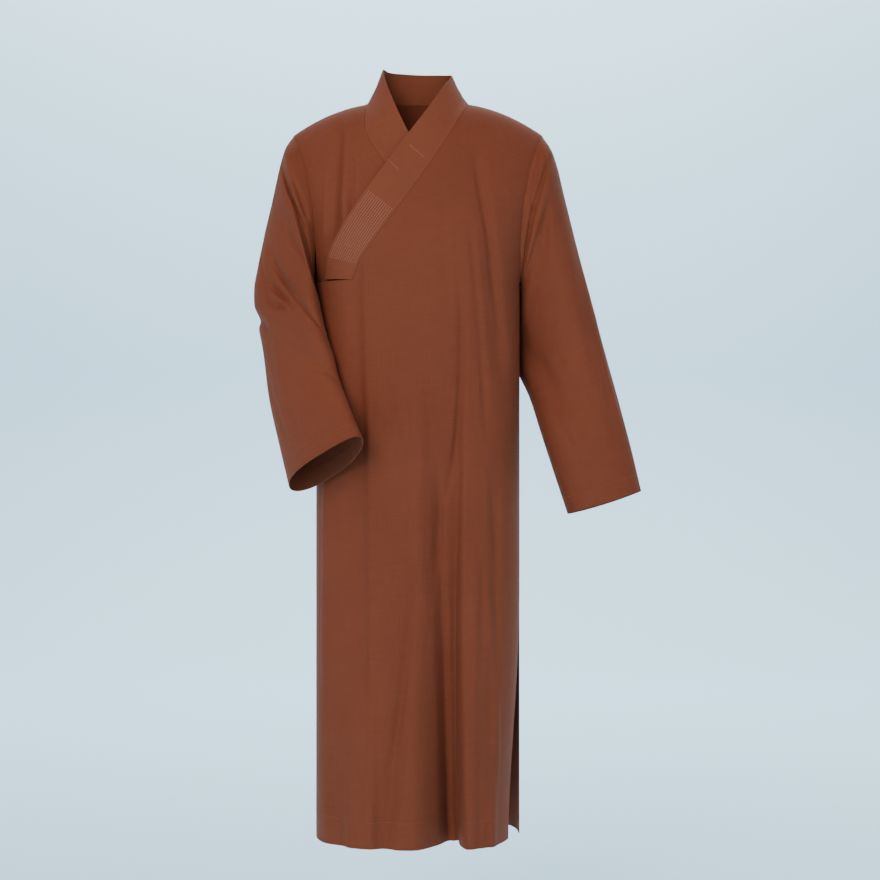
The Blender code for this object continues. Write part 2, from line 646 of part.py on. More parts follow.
def sheet(name, rows, wall, material, closed=False, flip=False, lift=0.0):
    """A cloth surface with the directions in which its wall grows."""
    points = rows.reshape(-1, 3)
    faces = faces_of(rows, closed, flip)
    first = points[faces[:, 2]] - points[faces[:, 0]]
    second = points[faces[:, 3]] - points[faces[:, 1]]
    normals = np.zeros_like(points)
    across = np.cross(first, second)
    across /= np.linalg.norm(across, axis=1, keepdims=True)
    for corner in range(4):
        np.add.at(normals, faces[:, corner], across)
    normals /= np.maximum(np.linalg.norm(normals, axis=1, keepdims=True), 1e-9)
    edges = {}
    for face in faces:
        for corner in range(4):
            edges.setdefault(frozenset((face[corner], face[(corner + 1) % 4])), []).append(
                (face[corner], face[(corner + 1) % 4])
            )
    rim = [uses[0] for uses in edges.values() if len(uses) == 1]
    return {
        "name": name,
        "points": points,
        "normals": normals,
        "faces": faces,
        "rim": rim,
        "wall": wall,
        "material": material,
        "lift": lift,
    }


def mitre_seams(sheets):
    """Gives the points where sheets meet the mean of their wall directions."""
    places = [(piece, index) for piece in sheets for index in sorted({a for a, _ in piece["rim"]})]
    tree = kdtree.KDTree(len(places))
    for number, (piece, index) in enumerate(places):
        tree.insert(piece["points"][index], number)
    tree.balance()
    shared = []
    for piece, index in places:
        own = piece["normals"][index]
        total = own.copy()
        for _, number, _ in tree.find_range(piece["points"][index], SEAM_REACH):
            other, there = places[number]
            normal = other["normals"][there]
            if other is not piece and normal @ own > 0.15:
                total += normal
        if abs(piece["points"][index][1]) < SEAM_GAP:
            total[1] = 0.0
        shared.append(total / np.linalg.norm(total))
    for (piece, index), normal in zip(places, shared):
        piece["normals"][index] = normal


def add_piece(piece):
    """The closed solid of a sheet: its outer face, its inner face and the rim between them."""
    used = sorted(set(piece["faces"].ravel()))
    number = {old: new for new, old in enumerate(used)}
    outer = piece["points"][used] + piece["normals"][used] * piece["lift"]
    inner = outer - piece["normals"][used] * piece["wall"]
    count = len(used)
    faces = []
    for face in piece["faces"]:
        a, b, c, d = (number[corner] for corner in face)
        if np.linalg.norm(outer[a] - outer[c]) <= np.linalg.norm(outer[b] - outer[d]):
            halves = [(a, b, c), (a, c, d)]
        else:
            halves = [(a, b, d), (b, c, d)]
        faces += halves + [tuple(corner + count for corner in half[::-1]) for half in halves]
    for a, b in piece["rim"]:
        a, b = number[a], number[b]
        faces.append([b, a, a + count, b + count])
    mesh = bpy.data.meshes.new(piece["name"])
    mesh.from_pydata(np.vstack([outer, inner]).tolist(), [], faces)
    mesh.update()
    mesh.shade_smooth()
    mesh.materials.append(piece["material"])
    bpy.data.collections["robe"].objects.link(bpy.data.objects.new(piece["name"], mesh))


def robe_sheets(cloth, band_cloth):
    """Every piece of the robe as a sheet, with the seams between them mitred."""
    outer_front, underlap, back = outer_front_rows(), underlap_rows(), back_rows()
    left = sleeve_rows(LEFT_SLEEVE, LEFT_SLEEVE_FOLDS, 1)
    right = sleeve_rows(RIGHT_SLEEVE, RIGHT_SLEEVE_FOLDS, -1)
    band = band_rows(neckline(outer_front, back, underlap))
    sheets = [
        sheet("outer_front", outer_front, CLOTH_WALL, cloth),
        sheet("underlap", underlap, CLOTH_WALL, cloth),
        sheet("back", back, CLOTH_WALL, cloth, flip=True),
        sheet("sleeve_left", left, CLOTH_WALL, cloth, closed=True),
        sheet("sleeve_right", right, CLOTH_WALL, cloth, closed=True, flip=True),
        sheet("collar_band", band, BAND_WALL, band_cloth, flip=True),
    ]
    mitre_seams(sheets)
    return sheets


def main():
    for old in list(bpy.data.objects):
        bpy.data.objects.remove(old, do_unlink=True)
    collection = bpy.data.collections.new("robe")
    bpy.context.scene.collection.children.link(collection)
    cloth = cloth_material("robe_cloth", ROBE_BROWN)
    band_cloth = cloth_material("band_cloth", BAND_BROWN)
    for piece in robe_sheets(cloth, band_cloth):
        add_piece(piece)


main()
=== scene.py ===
"""A long crossed-collar robe of plain woven cloth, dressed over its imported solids.

Every panel is drawn again from the same named sizes as its solid, several times finer, with its
creases, turned hems, seams and stitching added. Metres, +Z up, the front faces -Y.
"""

import math

import bpy
import numpy as np
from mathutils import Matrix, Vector, kdtree


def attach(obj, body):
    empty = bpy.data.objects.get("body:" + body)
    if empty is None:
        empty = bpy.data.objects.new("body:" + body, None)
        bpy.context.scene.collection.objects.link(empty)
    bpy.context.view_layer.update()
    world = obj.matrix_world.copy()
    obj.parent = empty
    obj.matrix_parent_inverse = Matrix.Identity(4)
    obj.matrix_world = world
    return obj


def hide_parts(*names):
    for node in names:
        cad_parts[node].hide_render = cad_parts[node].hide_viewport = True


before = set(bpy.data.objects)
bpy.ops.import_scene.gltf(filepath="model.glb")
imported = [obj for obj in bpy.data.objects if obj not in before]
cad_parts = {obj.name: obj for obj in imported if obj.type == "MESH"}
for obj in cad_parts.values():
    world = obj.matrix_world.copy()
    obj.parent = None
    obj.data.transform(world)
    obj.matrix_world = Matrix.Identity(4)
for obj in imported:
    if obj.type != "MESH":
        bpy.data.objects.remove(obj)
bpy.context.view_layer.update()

# Cloth walls and seams
CLOTH_WALL = 0.0015
BAND_WALL = 0.0018
SEAM_GAP = 0.00005
BAND_GAP = 0.00005
SEAM_REACH = 0.0016
LAP_DEPTH = 0.0052

# Heights of the robe
HEM_Z = -1.213
INNER_HEM_Z = -1.190
UNDERARM_Z = -0.300
SLIT_TOP_Z = -0.800

# Body form in plan: half width, half depths and how square its outline is
HALF_WIDTH = 0.169
SQUARENESS = 0.80
NECK_HALF_WIDTH = 0.085
FRONT_TOP_ROUND = 2.0
BACK_TOP_ROUND = 2.4
FRONT_NECK_RISE = 0.030
BACK_NECK_RISE = 0.050
BACK_NECK_DIP = 0.33
SHOULDER_SLOPE = 0.15
SHOULDER_BOW = 2.2
ARMHOLE_BULGE = 0.15

FRONT, BACK = -1, 1

# Depth of the hanging body: height, front half depth, back half depth
BODY_DEPTHS = (
    # z, front, back
    (-0.30, 0.120, 0.116),
    (-0.45, 0.121, 0.108),
    (-0.62, 0.124, 0.112),
    (-0.80, 0.128, 0.120),
    (-1.00, 0.131, 0.121),
    (-1.22, 0.133, 0.120),
)

# Front edge of the armhole seen from the front: share of the way up, distance from the middle
ARMHOLE_EDGE = (
    # up, x
    (0.00, 0.169),
    (0.20, 0.168),
    (0.45, 0.172),
    (0.70, 0.183),
    (0.88, 0.196),
    (1.00, 0.206),
)

# Soft folds of the front. Each runs down the cloth at x, from its top to its bottom height.
# Its hollow is deep metres below the form, and fades over a left and a right width.
# Slip carries the hollow sideways, so that the ridge beside it hangs over it.
FRONT_FOLDS = (
    # top_z, bottom_z, x_top, x_middle, x_bottom, deep_top, deep_bottom, left, right, slip
    (-0.36, -1.30, 0.074, 0.062, 0.070, 0.001, 0.088, 0.075, 0.013, 0.018),
    (-0.72, -1.30, 0.006, -0.030, -0.062, 0.002, 0.014, 0.032, 0.026, 0.000),
    (-0.52, -1.05, -0.112, -0.118, -0.122, 0.004, 0.010, 0.040, 0.036, 0.000),
    (-0.62, -1.05, 0.128, 0.126, 0.122, 0.003, 0.006, 0.016, 0.014, 0.000),
    (-0.10, -0.50, 0.100, 0.122, 0.142, 0.003, 0.007, 0.026, 0.018, 0.000),
    (-0.95, -1.30, -0.140, -0.134, -0.128, 0.002, 0.009, 0.020, 0.024, 0.000),
    (-0.80, -1.30, 0.112, 0.128, 0.120, -0.002, -0.006, 0.012, 0.016, 0.000),
)

# Soft folds of the underlap's shoulder, where it shows above the band
LAP_FOLDS = (
    # top_z, bottom_z, x_top, x_middle, x_bottom, deep_top, deep_bottom, left, right, slip
    (-0.04, -0.34, -0.127, -0.131, -0.140, 0.004, 0.009, 0.020, 0.009, 0.000),
    (-0.09, -0.26, -0.104, -0.106, -0.110, 0.001, 0.003, 0.010, 0.010, 0.000),
)

# Soft folds of the back, which hangs plainly from the shoulder blades
BACK_FOLDS = (
    # top_z, bottom_z, x_top, x_middle, x_bottom, deep_top, deep_bottom, left, right, slip
    (-0.18, -1.30, 0.058, 0.050, 0.046, 0.002, 0.030, 0.046, 0.034, 0.000),
    (-0.16, -1.30, -0.070, -0.060, -0.066, 0.002, 0.026, 0.034, 0.046, 0.000),
    (-0.55, -1.30, -0.008, -0.006, -0.004, 0.001, 0.012, 0.030, 0.030, 0.000),
    (-0.08, -0.55, 0.118, 0.128, 0.136, 0.004, 0.006, 0.022, 0.018, 0.000),
    (-0.08, -0.55, -0.118, -0.128, -0.136, 0.004, 0.006, 0.018, 0.022, 0.000),
    (-0.75, -1.30, 0.116, 0.114, 0.116, 0.002, 0.014, 0.026, 0.026, 0.000),
    (-0.72, -1.30, -0.122, -0.122, -0.120, 0.002, 0.014, 0.026, 0.026, 0.000),
)

# The collar band from its end at the wearer's right underarm, up the crossed front, round the
# neck and down to its hidden end. On the chest the depths come from the body form.
BAND_OUTER_FRONT = (
    # seam_x, seam_z, edge_x, edge_z
    (-0.1060, -0.2990, -0.1500, -0.2960),
    (-0.0920, -0.2680, -0.1430, -0.2520),
    (-0.0680, -0.2340, -0.1165, -0.2040),
    (-0.0400, -0.1960, -0.0870, -0.1600),
    (-0.0120, -0.1580, -0.0560, -0.1170),
    (0.0170, -0.1170, -0.0270, -0.0760),
    (0.0420, -0.0780, -0.0020, -0.0420),
)
BAND_NECK = (
    # seam_x, seam_y, seam_z, edge_x, edge_y, edge_z
    (0.0640, -0.0620, -0.0400, 0.0210, -0.0540, -0.0080),
    (0.0815, -0.0180, -0.0060, 0.0430, -0.0300, 0.0260),
    (0.0755, 0.0110, 0.0115, 0.0570, 0.0040, 0.0490),
    (0.0560, 0.0460, 0.0128, 0.0450, 0.0380, 0.0570),
    (0.0000, 0.0650, 0.0125, 0.0000, 0.0560, 0.0610),
    (-0.0560, 0.0460, 0.0128, -0.0460, 0.0380, 0.0610),
    (-0.0790, 0.0110, 0.0060, -0.0590, 0.0020, 0.0590),
    (-0.0860, -0.0180, -0.0080, -0.0520, -0.0270, 0.0300),
)
BAND_INNER_FRONT = (
    # seam_x, seam_z, edge_x, edge_z
    (-0.0860, -0.0450, -0.0340, -0.0150),
    (-0.0740, -0.0770, -0.0150, -0.0560),
    (-0.0540, -0.1080, 0.0060, -0.0880),
    (-0.0280, -0.1460, 0.0220, -0.1180),
    (0.0000, -0.1830, 0.0460, -0.1530),
    (0.0260, -0.2180, 0.0720, -0.1880),
)
UNDERLAP_EDGE = (
    # x, z: where the underlap's free edge runs below the band
    (0.0260, -0.2180),
    (0.0340, -0.3000),
    (0.0300, -0.5000),
    (0.0100, -0.8000),
    (-0.0200, -1.2200),
)

# Sleeves by sections from armhole to cuff: the outer and inner sides, and how far the front
# and back walls stand from the middle between them. Sag lets the walls hang lower, and tilt
# lifts the front wall and drops the back one.
LEFT_SLEEVE = (
    # outer x, y, z, inner x, y, z, front, back, sag, tilt
    (0.2190, 0.002, -0.071, 0.1690, 0.012, -0.311, 0.072, 0.069, 0.000, 0.000),
    (0.2310, 0.004, -0.101, 0.1660, 0.029, -0.326, 0.074, 0.061, 0.000, 0.000),
    (0.2450, 0.006, -0.160, 0.1640, 0.038, -0.352, 0.076, 0.050, 0.000, 0.000),
    (0.2670, 0.004, -0.250, 0.1600, 0.050, -0.392, 0.074, 0.044, 0.002, 0.000),
    (0.2900, -0.002, -0.333, 0.1650, 0.042, -0.436, 0.068, 0.042, 0.003, 0.000),
    (0.3120, -0.006, -0.416, 0.1860, 0.014, -0.486, 0.058, 0.045, 0.004, 0.001),
    (0.3330, -0.016, -0.496, 0.2040, -0.018, -0.547, 0.050, 0.048, 0.004, 0.002),
    (0.3520, -0.026, -0.572, 0.2260, -0.028, -0.616, 0.048, 0.046, 0.003, 0.003),
    (0.3680, -0.034, -0.643, 0.2470, -0.036, -0.680, 0.046, 0.044, 0.002, 0.004),
)
RIGHT_SLEEVE = (
    # outer x, y, z, inner x, y, z, front, back, sag, tilt
    (-0.2185, 0.002, -0.070, -0.1690, -0.020, -0.311, 0.070, 0.071, 0.000, 0.000),
    (-0.2290, 0.004, -0.100, -0.1595, -0.046, -0.328, 0.064, 0.078, 0.000, 0.000),
    (-0.2420, 0.008, -0.155, -0.1535, -0.056, -0.350, 0.056, 0.084, 0.000, 0.000),
    (-0.2570, 0.008, -0.220, -0.1490, -0.068, -0.374, 0.052, 0.083, 0.000, 0.001),
    (-0.2680, 0.006, -0.280, -0.1420, -0.078, -0.400, 0.048, 0.070, 0.000, 0.003),
    (-0.2700, 0.001, -0.345, -0.1340, -0.098, -0.426, 0.044, 0.058, 0.000, 0.006),
    (-0.2570, -0.012, -0.412, -0.1260, -0.112, -0.456, 0.042, 0.046, 0.001, 0.010),
    (-0.2440, -0.042, -0.492, -0.1130, -0.140, -0.490, 0.042, 0.045, 0.003, 0.016),
    (-0.2260, -0.072, -0.562, -0.1000, -0.162, -0.522, 0.044, 0.047, 0.004, 0.020),
    (-0.2070, -0.100, -0.632, -0.0830, -0.182, -0.560, 0.044, 0.048, 0.004, 0.023),
)

# Sleeve folds: from one place to another, by share of the length and degrees round the sleeve
# (0 outer side, 90 front, 180 inner side, 270 back). Width and depth in metres.
LEFT_SLEEVE_FOLDS = (
    # along_1, round_1, along_2, round_2, width, deep
    (0.10, 62, 0.26, 118, 0.014, 0.007),
    (0.38, 28, 0.80, 40, 0.014, 0.004),
    (0.34, 125, 0.62, 118, 0.020, 0.008),
    (0.05, 300, 0.30, 240, 0.014, 0.007),
    (0.45, 250, 0.70, 300, 0.016, 0.006),
)
RIGHT_SLEEVE_FOLDS = (
    # along_1, round_1, along_2, round_2, width, deep
    (0.10, 24, 0.08, 84, 0.010, 0.008),
    (0.08, 84, 0.05, 134, 0.010, 0.007),
    (0.18, 146, 0.50, 138, 0.034, -0.026),
    (0.31, 50, 0.36, 136, 0.014, 0.011),
    (0.38, 44, 0.39, 96, 0.010, 0.007),
    (0.50, 346, 0.52, 40, 0.009, 0.008),
    (0.42, 356, 0.45, 40, 0.020, -0.005),
    (0.16, 300, 0.34, 262, 0.014, 0.005),
    (0.48, 290, 0.60, 230, 0.014, 0.008),
)
SLEEVE_SQUARENESS = 0.86
BODY_CLEARANCE = 0.0004

# Finer creases of the front, in the same columns as its folds
FRONT_CREASES = (
    # top_z, bottom_z, x_top, x_middle, x_bottom, deep_top, deep_bottom, left, right, slip
    (-0.11, -0.33, 0.096, 0.116, 0.140, 0.0034, 0.0050, 0.010, 0.012, 0.000),
    (-0.24, -0.42, 0.116, 0.130, 0.146, 0.0028, 0.0046, 0.010, 0.011, 0.000),
    (-0.22, -0.58, 0.086, 0.102, 0.112, 0.0022, 0.0044, 0.010, 0.011, 0.000),
    (-0.33, -0.64, 0.069, 0.070, 0.054, 0.0034, 0.0070, 0.010, 0.008, 0.000),
    (-0.58, -0.86, 0.062, 0.032, 0.022, 0.0024, 0.0046, 0.013, 0.010, 0.000),
    (-0.78, -1.14, 0.112, 0.127, 0.140, -0.0024, -0.0034, 0.006, 0.010, 0.000),
    (-0.77, -1.12, -0.001, -0.021, -0.046, 0.0030, 0.0060, 0.014, 0.009, 0.000),
    (-0.96, -1.26, -0.072, -0.073, -0.072, -0.0034, -0.0050, 0.012, 0.010, 0.000),
    (-0.26, -0.62, -0.098, -0.094, -0.090, 0.0040, 0.0060, 0.026, 0.014, 0.000),
    (-0.52, -1.02, -0.088, -0.087, -0.085, 0.0050, 0.0105, 0.040, 0.012, 0.000),
    (-0.60, -1.00, -0.150, -0.152, -0.152, -0.0026, -0.0036, 0.006, 0.009, 0.000),
    (-0.50, -0.84, 0.004, 0.004, 0.004, -0.0034, -0.0048, 0.020, 0.018, 0.000),
    (-0.64, -0.80, 0.118, 0.128, 0.134, 0.0020, 0.0030, 0.008, 0.012, 0.000),
    (-0.76, -1.28, 0.092, 0.090, 0.084, -0.0036, -0.0050, 0.014, 0.014, 0.000),
    (-0.40, -0.62, -0.050, -0.046, -0.044, 0.0010, 0.0024, 0.016, 0.020, 0.000),
    (-0.14, -0.40, 0.040, 0.046, 0.050, 0.0010, 0.0020, 0.012, 0.014, 0.000),
    (-1.00, -1.28, -0.118, -0.120, -0.122, 0.0024, 0.0040, 0.012, 0.012, 0.000),
    (-0.62, -1.28, 0.034, 0.043, 0.050, 0.0060, 0.0130, 0.018, 0.010, 0.000),
)

# Finer creases of the underlap's chest
LAP_CREASES = (
    # top_z, bottom_z, x_top, x_middle, x_bottom, deep_top, deep_bottom, left, right, slip
    (-0.06, -0.28, -0.125, -0.129, -0.139, 0.0050, 0.0080, 0.008, 0.006, 0.000),
    (-0.10, -0.25, -0.106, -0.108, -0.114, 0.0024, 0.0044, 0.008, 0.006, 0.000),
    (-0.12, -0.26, -0.148, -0.150, -0.154, -0.0016, -0.0024, 0.007, 0.007, 0.000),
)

# Finer creases of the back
BACK_CREASES = (
    # top_z, bottom_z, x_top, x_middle, x_bottom, deep_top, deep_bottom, left, right, slip
    (-0.06, -0.34, 0.134, 0.126, 0.110, 0.0022, 0.0047, 0.010, 0.008, 0.000),
    (-0.07, -0.38, -0.138, -0.128, -0.106, 0.0022, 0.0040, 0.008, 0.011, 0.000),
    (-0.30, -0.66, 0.086, 0.080, 0.070, 0.0022, 0.0043, 0.012, 0.010, 0.000),
    (-0.42, -0.90, -0.034, -0.036, -0.030, 0.0018, 0.0043, 0.014, 0.012, 0.000),
    (-0.62, -1.10, 0.020, 0.024, 0.022, -0.0025, -0.0050, 0.012, 0.014, 0.000),
    (-0.70, -1.24, -0.094, -0.098, -0.092, -0.0022, -0.0047, 0.010, 0.012, 0.000),
    (-0.86, -1.30, 0.086, 0.084, 0.080, 0.0022, 0.0054, 0.010, 0.008, 0.000),
    (-0.90, -1.30, -0.030, -0.034, -0.030, 0.0018, 0.0047, 0.009, 0.012, 0.000),
    (-0.34, -0.60, -0.146, -0.140, -0.134, 0.0018, 0.0040, 0.007, 0.010, 0.000),
    (-0.40, -0.72, 0.150, 0.144, 0.142, 0.0018, 0.0036, 0.010, 0.007, 0.000),
)

# Finer creases of the sleeves, in the same columns as their folds
LEFT_SLEEVE_CREASES = (
    # along_1, round_1, along_2, round_2, width, deep
    (0.022, 34, 0.020, 80, 0.0040, 0.0050),
    (0.055, 26, 0.034, 86, 0.0048, 0.0085),
    (0.034, 86, 0.030, 150, 0.0048, 0.0075),
    (0.100, 30, 0.074, 96, 0.0100, -0.0044),
    (0.080, 96, 0.070, 140, 0.0100, -0.0024),
    (0.095, 60, 0.349, 66, 0.0160, -0.0026),
    (0.300, 28, 0.600, 50, 0.0140, 0.0034),
    (0.316, 140, 0.508, 138, 0.0150, 0.0070),
    (0.440, 82, 0.700, 76, 0.0140, -0.0030),
    (0.600, 96, 0.860, 84, 0.0110, 0.0020),
    (0.500, 10, 0.740, 18, 0.0080, 0.0020),
    (0.660, 130, 0.900, 112, 0.0100, 0.0020),
    (0.120, 8, 0.400, 12, 0.0100, -0.0014),
    (0.300, 266, 0.520, 232, 0.0090, 0.0028),
    (0.460, 318, 0.600, 262, 0.0090, 0.0030),
    (0.600, 274, 0.780, 300, 0.0100, 0.0022),
    (0.720, 240, 0.920, 262, 0.0100, 0.0020),
    (0.050, 330, 0.032, 270, 0.0060, 0.0040),
)
RIGHT_SLEEVE_CREASES = (
    # along_1, round_1, along_2, round_2, width, deep
    (0.103, 18, 0.097, 54, 0.0046, 0.0080),
    (0.097, 54, 0.044, 108, 0.0046, 0.0100),
    (0.044, 108, 0.030, 146, 0.0050, 0.0070),
    (0.150, 30, 0.120, 80, 0.0100, -0.0030),
    (0.120, 80, 0.080, 122, 0.0090, -0.0036),
    (0.046, 60, 0.020, 100, 0.0038, 0.0060),
    (0.200, 60, 0.150, 128, 0.0070, 0.0050),
    (0.322, 54, 0.342, 104, 0.0046, 0.0070),
    (0.342, 104, 0.366, 158, 0.0046, 0.0070),
    (0.300, 62, 0.310, 120, 0.0090, -0.0044),
    (0.384, 46, 0.390, 94, 0.0042, 0.0060),
    (0.349, 22, 0.404, 42, 0.0042, 0.0064),
    (0.404, 42, 0.443, 54, 0.0042, 0.0064),
    (0.443, 54, 0.424, 86, 0.0046, 0.0066),
    (0.408, 58, 0.406, 96, 0.0060, -0.0036),
    (0.504, 350, 0.514, 36, 0.0060, 0.0040),
    (0.470, 356, 0.480, 36, 0.0080, -0.0020),
    (0.626, 148, 0.680, 176, 0.0060, 0.0034),
    (0.540, 60, 0.760, 56, 0.0140, -0.0022),
    (0.740, 96, 0.920, 80, 0.0110, -0.0022),
    (0.660, 20, 0.880, 40, 0.0100, 0.0020),
    (0.460, 262, 0.560, 214, 0.0080, 0.0030),
    (0.520, 300, 0.620, 250, 0.0080, 0.0030),
    (0.700, 286, 0.880, 262, 0.0100, 0.0020),
    (0.200, 282, 0.360, 244, 0.0080, 0.0022),
    (0.050, 330, 0.032, 270, 0.0060, 0.0040),
)

# How finely each piece is divided
BODY_ROWS = 64
CHEST_ROWS = 72
FRONT_SIDE_COLUMNS = 24
FRONT_COLUMNS = 120
BACK_SIDE_COLUMNS = 32
NECK_COLUMNS = 40
UNDERLAP_COLUMNS = 48
SLEEVE_COLUMNS = 2 * CHEST_ROWS
SLEEVE_ROWS = 160
BAND_COLUMNS = 16
FINE_STEPS = 360
SOFTENING = 80


# Cloth as sewn: its wall, how round an edge is turned, and what a turned hem adds
SHOWN_WALL = 0.0011
SHOWN_BAND_WALL = 0.0018
EDGE_ROUND = 0.12
TURNED_WALL = 0.0007
HEM_DEPTH = 0.045
CUFF_DEPTH = 0.030
THREADS_PER_METRE = 2200.0

# The studio: the floor, the sweep up to the backdrop, the lights and the camera
FLOOR_Z = -1.47
FLOOR_FRONT = -7.0
FLOOR_HALF_WIDTH = 9.0
SWEEP_START = 3.6
SWEEP_RADIUS = 1.2
BACKDROP_TOP = 7.0
CAMERA_PLACE = (0.0367, -3.0, -0.5583)
CAMERA_LENS = 18 / 0.24444
FLOOR_COLOUR = (0.62, 0.85, 0.98)
WORLD_COLOUR = (0.95, 0.97, 1.0)
WORLD_STRENGTH = 0.42
STUDIO_LIGHTS = (
    # name, place, aim, size, power, colour
    ("key_light", (-1.15, -3.2, 1.0), (0.0, 0.0, -0.6), (1.5, 1.5), 82.0, (1.0, 0.97, 0.92)),
    ("fill_light", (2.4, -2.4, 0.8), (0.0, 0.0, -0.6), (2.0, 2.0), 16.0, (1.0, 0.98, 0.96)),
    ("back_light", (2.9, 2.8, 1.8), (0.0, 0.0, -0.5), (1.6, 1.6), 46.0, (1.0, 0.98, 0.96)),
    ("backdrop_light", (0.0, 2.8, 3.4), (0.0, 4.8, -0.8), (6.0, 1.4), 440.0, (0.84, 0.96, 1.0)),
)

# Stitches: spacing, length and thickness
HEM_STITCH = (0.0040, 0.0030, 0.0006)
EDGE_STITCH = (0.0036, 0.0026, 0.0005)
BLOCK_STITCH = (0.0036, 0.0029, 0.0009)

# Rows of stitches on the collar band. Along is measured in metres from the band's lower end,
# and across is the share of the band's width from its seam to its free edge.
BAND_STITCHES = (
    # along_1, along_2, across_1, across_2
    (0.004, 1.030, 0.05, 0.05),
    (0.004, 1.030, 0.95, 0.95),
    (0.640, 0.760, 0.14, 0.14),
    (0.640, 0.760, 0.23, 0.23),
    (0.640, 0.760, 0.32, 0.32),
)
BLOCK_ROWS = 13
BLOCK_ALONG = (0.029, 0.131)
BLOCK_ACROSS = (0.10, 0.90)
LAYER_ENDS = (
    # along, across_1, across_2
    (0.186, 0.98, 0.64),
    (0.230, 0.72, 0.26),
)

# Finishes
CLOTH_FINISHES = (
    # name, dark, light, slub, roughness, sheen
    ("woven_cloth", (0.160, 0.0375, 0.0170), (0.220, 0.0570, 0.0270), 0.7, 0.80, 0.07),
    ("band_weave", (0.172, 0.0430, 0.0200), (0.238, 0.0660, 0.0320), 0.6, 0.78, 0.08),
)
THREAD_COLOUR = (0.205, 0.060, 0.030)
LIGHT_THREAD_COLOUR = (0.420, 0.195, 0.135)
CLOTH_GLOSS = 0.16
SHEEN_ROUGHNESS = 0.45
SHEEN_TINT = (0.90, 0.45, 0.30)
WEAVE_BUMP = 0.35
WEAVE_RELIEF = 0.0002


def smooth_step(value):
    """0 below 0, 1 above 1, and an even rise between."""
    value = np.clip(value, 0.0, 1.0)
    return value * value * (3 - 2 * value)


def signed_power(value, power):
    """A power of the size that keeps the sign."""
    return np.sign(value) * np.abs(value) ** power


def column_at(table, column, where):
    """A column of a table, read at the first column's value by straight steps."""
    rows = sorted(table)
    return np.interp(where, [row[0] for row in rows], [row[column] for row in rows])


def smooth_line(points, count):
    """Evenly spaced stations on a smooth curve through the points."""
    points = np.array(points, float)
    before = 2 * points[0] - points[1]
    after = 2 * points[-1] - points[-2]
    padded = np.concatenate([before[None], points, after[None]])
    where = np.linspace(0, len(points) - 1, count)
    piece = np.minimum(where.astype(int), len(points) - 2)
    t = (where - piece).reshape((-1,) + (1,) * (points.ndim - 1))
    p0, p1, p2, p3 = (padded[piece + k] for k in range(4))
    return 0.5 * (
        2 * p1
        + (p2 - p0) * t
        + (2 * p0 - 5 * p1 + 4 * p2 - p3) * t**2
        + (3 * p1 - p0 - 3 * p2 + p3) * t**3
    )


def top_line(x, side):
    """Height of the shoulder line over x, and of the neck slope inside the collar."""
    out = np.maximum(np.abs(x) - NECK_HALF_WIDTH, 0.0)
    shoulder = -SHOULDER_SLOPE * out - SHOULDER_BOW * out**2
    rise = FRONT_NECK_RISE if side == FRONT else BACK_NECK_RISE
    inside = np.minimum(np.abs(x) / NECK_HALF_WIDTH, 1.0)
    return shoulder + rise * (1 - inside**2)


def top_round(side):
    """How round the chest is towards its shoulder line."""
    return FRONT_TOP_ROUND if side == FRONT else BACK_TOP_ROUND


def half_depth(z, side):
    """The body form's depth in front of or behind its middle at a height."""
    return column_at(BODY_DEPTHS, 1 if side == FRONT else 2, z)


def chest_limits(level):
    """Half width of the form and of the cloth at a chest level from 1 (underarm) to 2 (top)."""
    rise = (level - 1) * math.pi / 2
    share = math.sin(rise)
    reach = float(column_at(ARMHOLE_EDGE, 1, share))
    return reach * (1 + ARMHOLE_BULGE * math.sin(2 * rise)), reach


def across_of(x, level):
    """The place across the cloth, from -1 to 1, that lies at x on this level."""
    form, reach = (HALF_WIDTH, HALF_WIDTH) if level <= 1 else chest_limits(level)
    turn = math.asin(min(1.0, (abs(x) / form) ** (1 / SQUARENESS)))
    most = math.asin(min(1.0, (reach / form) ** (1 / SQUARENESS)))
    return math.copysign(turn / most, x)


def level_of(x, z, side):
    """The chest level, from 1 to 2, on which the form passes through x and z."""
    share = (z - UNDERARM_Z) / (top_line(x, side) - UNDERARM_Z)
    share = min(max(float(share), 0.0), 1.0)
    return 1 + math.asin(share ** (top_round(side) / 2)) / (math.pi / 2)


def form_points(across, levels, side):
    """Points of the plain body form. Levels run 0 hem, 1 underarm, 2 shoulder line."""
    across, levels = np.broadcast_arrays(np.asarray(across, float), np.asarray(levels, float))
    points = np.empty(across.shape + (3,))
    for index in np.ndindex(across.shape):
        level, place = float(levels[index]), float(across[index])
        if level <= 1:
            z = HEM_Z + level * (UNDERARM_Z - HEM_Z)
            turn = place * math.pi / 2
            width, depth, lift = HALF_WIDTH, float(half_depth(z, side)), 1.0
        else:
            rise = (level - 1) * math.pi / 2
            width, reach = chest_limits(level)
            turn = place * math.asin(min(1.0, (reach / width) ** (1 / SQUARENESS)))
            depth = float(half_depth(UNDERARM_Z, side))
            lift = math.cos(rise) ** (2 / top_round(side)) if level < 2 else 0.0
        x = width * float(signed_power(math.sin(turn), SQUARENESS))
        y = side * depth * max(math.cos(turn), 0.0) ** SQUARENESS * lift
        if level > 1:
            share = math.sin(rise) ** (2 / top_round(side))
            z = UNDERARM_Z + share * (float(top_line(x, side)) - UNDERARM_Z)
        points[index] = x, y, z
    return points


def outward(points, side):
    """Unit directions out of the body form in plan, at its points."""
    depth = half_depth(points[..., 2], side)
    direction = np.zeros_like(points)
    direction[..., 0] = signed_power(points[..., 0] / HALF_WIDTH, 1.5) / HALF_WIDTH
    direction[..., 1] = signed_power(points[..., 1] / depth, 1.5) / depth
    length = np.linalg.norm(direction, axis=-1, keepdims=True)
    front = np.zeros_like(points)
    front[..., 1] = side
    return np.where(length > 1e-6, direction / np.maximum(length, 1e-6), front)


